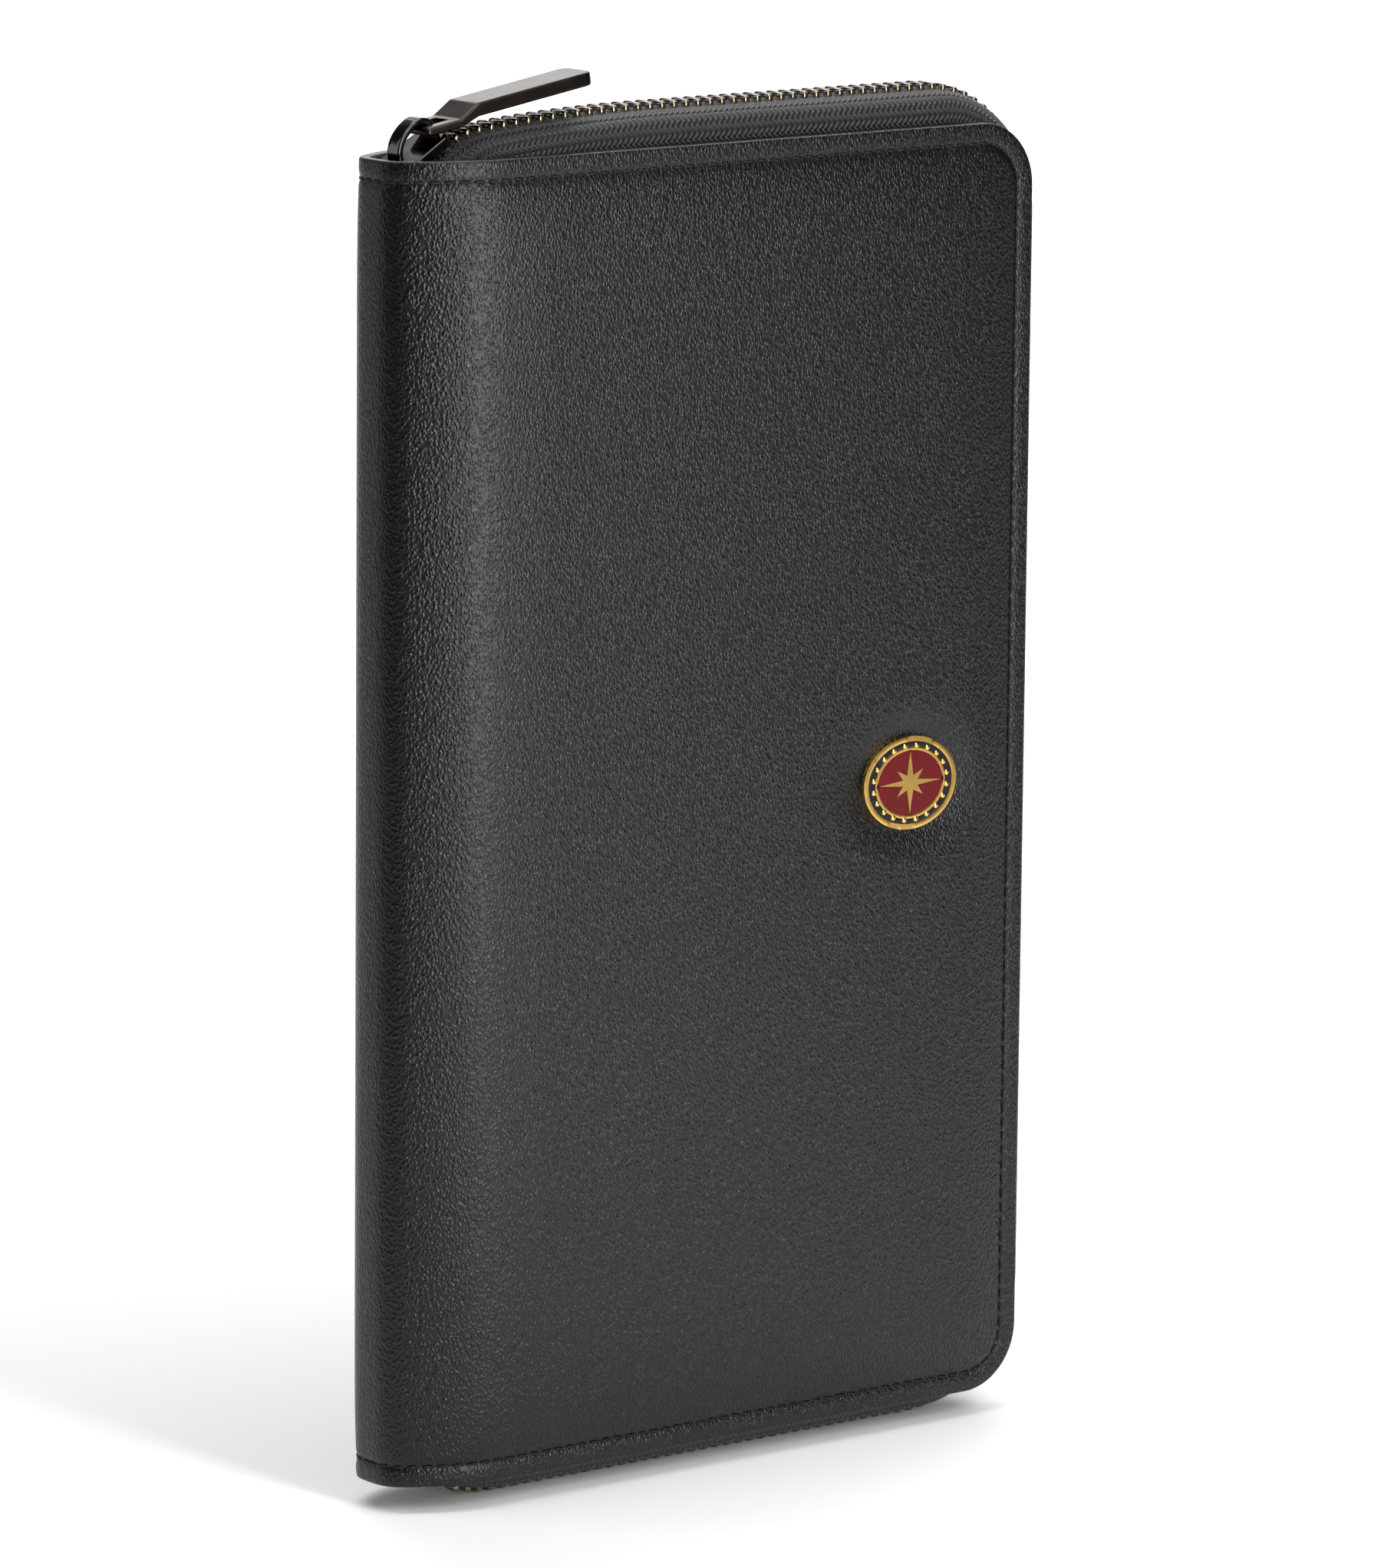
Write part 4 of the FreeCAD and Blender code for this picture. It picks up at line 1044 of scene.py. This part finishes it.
def inside_panel(node_name, name, material, body, side, corner, edge, thick=None):
    """A panel with the place and size of a CAD node; its visible face is the one towards the middle."""
    low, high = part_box(node_name)
    face_y = low.y if side > 0 else high.y
    thick = thick or (high.y - low.y)
    start = max(low.x, SPINE_X + PANEL_FROM_SPINE)
    piece = panel(name, (start, high.x), (low.z, high.z), face_y, thick, side, corner, edge)
    dress(piece, material)
    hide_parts(node_name)
    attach(piece, body)
    return piece


def pocket_seam(piece_name, node_name, side, inset=2.0 * MM):
    """Stitches along the two sides and the bottom of a pocket."""
    low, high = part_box(node_name)
    y = (low.y if side > 0 else high.y) - side * 0.05 * MM
    corner = 1.5 * MM
    x0, x1, z0, z1 = low.x + inset, high.x - inset, low.z + inset, high.z - inset
    line = [(x0, y, z1), (x0, y, z0 + corner), (x0 + corner, y, z0),
            (x1 - corner, y, z0), (x1, y, z0 + corner), (x1, y, z1)]
    piece = stitch_row(piece_name, [(line, [(0, -side, 0)] * len(line))], radius=0.2 * MM)
    return dress(piece, thread)


for side, word in ((-1, "front"), (1, "back")):
    body = word + "_cover"
    foam = inside_panel(word + "_foam_pad", word + "_foam_sheet", foam_felt, body, side,
                        10.6 * MM, 0.5 * MM)
    inside_panel(word + "_lining", word + "_lining_cloth", lining_cloth, body, side,
                 4.0 * MM, 0.3 * MM, 0.6 * MM)

POCKETS = [("ticket_pocket", "back_cover", 1), ("passport_pocket", "back_cover", 1),
           ("slip_pocket", "front_cover", -1)]
POCKETS += [("card_slot_%d" % i, "front_cover", -1) for i in range(1, 5)]
for node_name, body, side in POCKETS:
    inside_panel(node_name, node_name + "_panel", pocket_calf, body, side,
                 1.5 * MM, 0.35 * MM)
    seam = pocket_seam(node_name + "_stitches", node_name, side)
    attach(seam, body)
print("pockets:", len(POCKETS))


# %% Spine lining and pen loop
def upright_panel(node_name, name, material, body):
    """A thin sheet standing on the spine, facing the documents."""
    low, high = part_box(node_name)
    piece = panel(name, (low.y, high.y), (low.z, high.z), 0.0, high.x - low.x, 1, 1.0 * MM, 0.15 * MM)
    for vertex in piece.data.vertices:
        across, depth, z = vertex.co
        vertex.co = (high.x - depth, across, z)
    piece.data.flip_normals()
    dress(piece, material)
    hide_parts(node_name)
    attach(piece, body)
    return piece


upright_panel("spine_lining", "spine_lining_cloth", lining_cloth, "spine")


def pen_loop_mesh():
    """A band of webbing bent round three sides, its ends sewn to the spine."""
    low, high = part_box("pen_loop")
    wall = 0.8 * MM
    radius = 3.5 * MM
    line = [(low.x, low.y), (high.x - radius, low.y)]
    line += [(high.x - radius + radius * math.sin(a), low.y + radius - radius * math.cos(a))
             for a in np.linspace(0, math.pi / 2, 9)[1:]]
    line += [(high.x - radius + radius * math.cos(a), high.y - radius + radius * math.sin(a))
             for a in np.linspace(0, math.pi / 2, 9)]
    line += [(low.x, high.y), (low.x, low.y + wall)]
    points, uvs, faces = [], [], []
    lengths = [0.0]
    for a, b in zip(line, line[1:]):
        lengths.append(lengths[-1] + math.dist(a, b))
    normals = []
    for i in range(len(line)):
        a, b = line[max(i - 1, 0)], line[min(i + 1, len(line) - 1)]
        dx, dy = b[0] - a[0], b[1] - a[1]
        size = math.hypot(dx, dy)
        normals.append((-dy / size, dx / size))
    heights = list(np.linspace(low.z, high.z, 19))
    count = len(line)
    for layer in (0, 1):
        for z in heights:
            ripple = 0.06 * MM * math.cos(2 * math.pi * (z - low.z) / (5 * MM))
            for (x, y), (nx, ny), v in zip(line, normals, lengths):
                inward = layer * wall + (ripple if layer == 0 else 0.0)
                points.append((max(x + nx * inward, low.x), y + ny * inward, z))
                uvs.append((v, z))
    rows = len(heights)
    for layer in (0, 1):
        base = layer * rows * count
        for r in range(rows - 1):
            for k in range(count - 1):
                a = base + r * count + k
                quad = (a, a + 1, a + 1 + count, a + count)
                faces.append(quad if layer == 0 else quad[::-1])
    inner = rows * count
    for k in range(count - 1):
        faces.append((k + 1, k, inner + k, inner + k + 1))
        a = (rows - 1) * count + k
        faces.append((a, a + 1, inner + a + 1, inner + a))
    for r in range(rows - 1):
        a, b = r * count, r * count + count - 1
        faces.append((a, a + count, inner + a + count, inner + a))
        faces.append((b + count, b, inner + b, inner + b + count))
    return new_mesh("pen_loop_webbing", points, faces, uvs), lengths[-1], high.z - low.z


loop, loop_length, loop_height = pen_loop_mesh()
dress(loop, elastic)
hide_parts("pen_loop")
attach(loop, "spine")
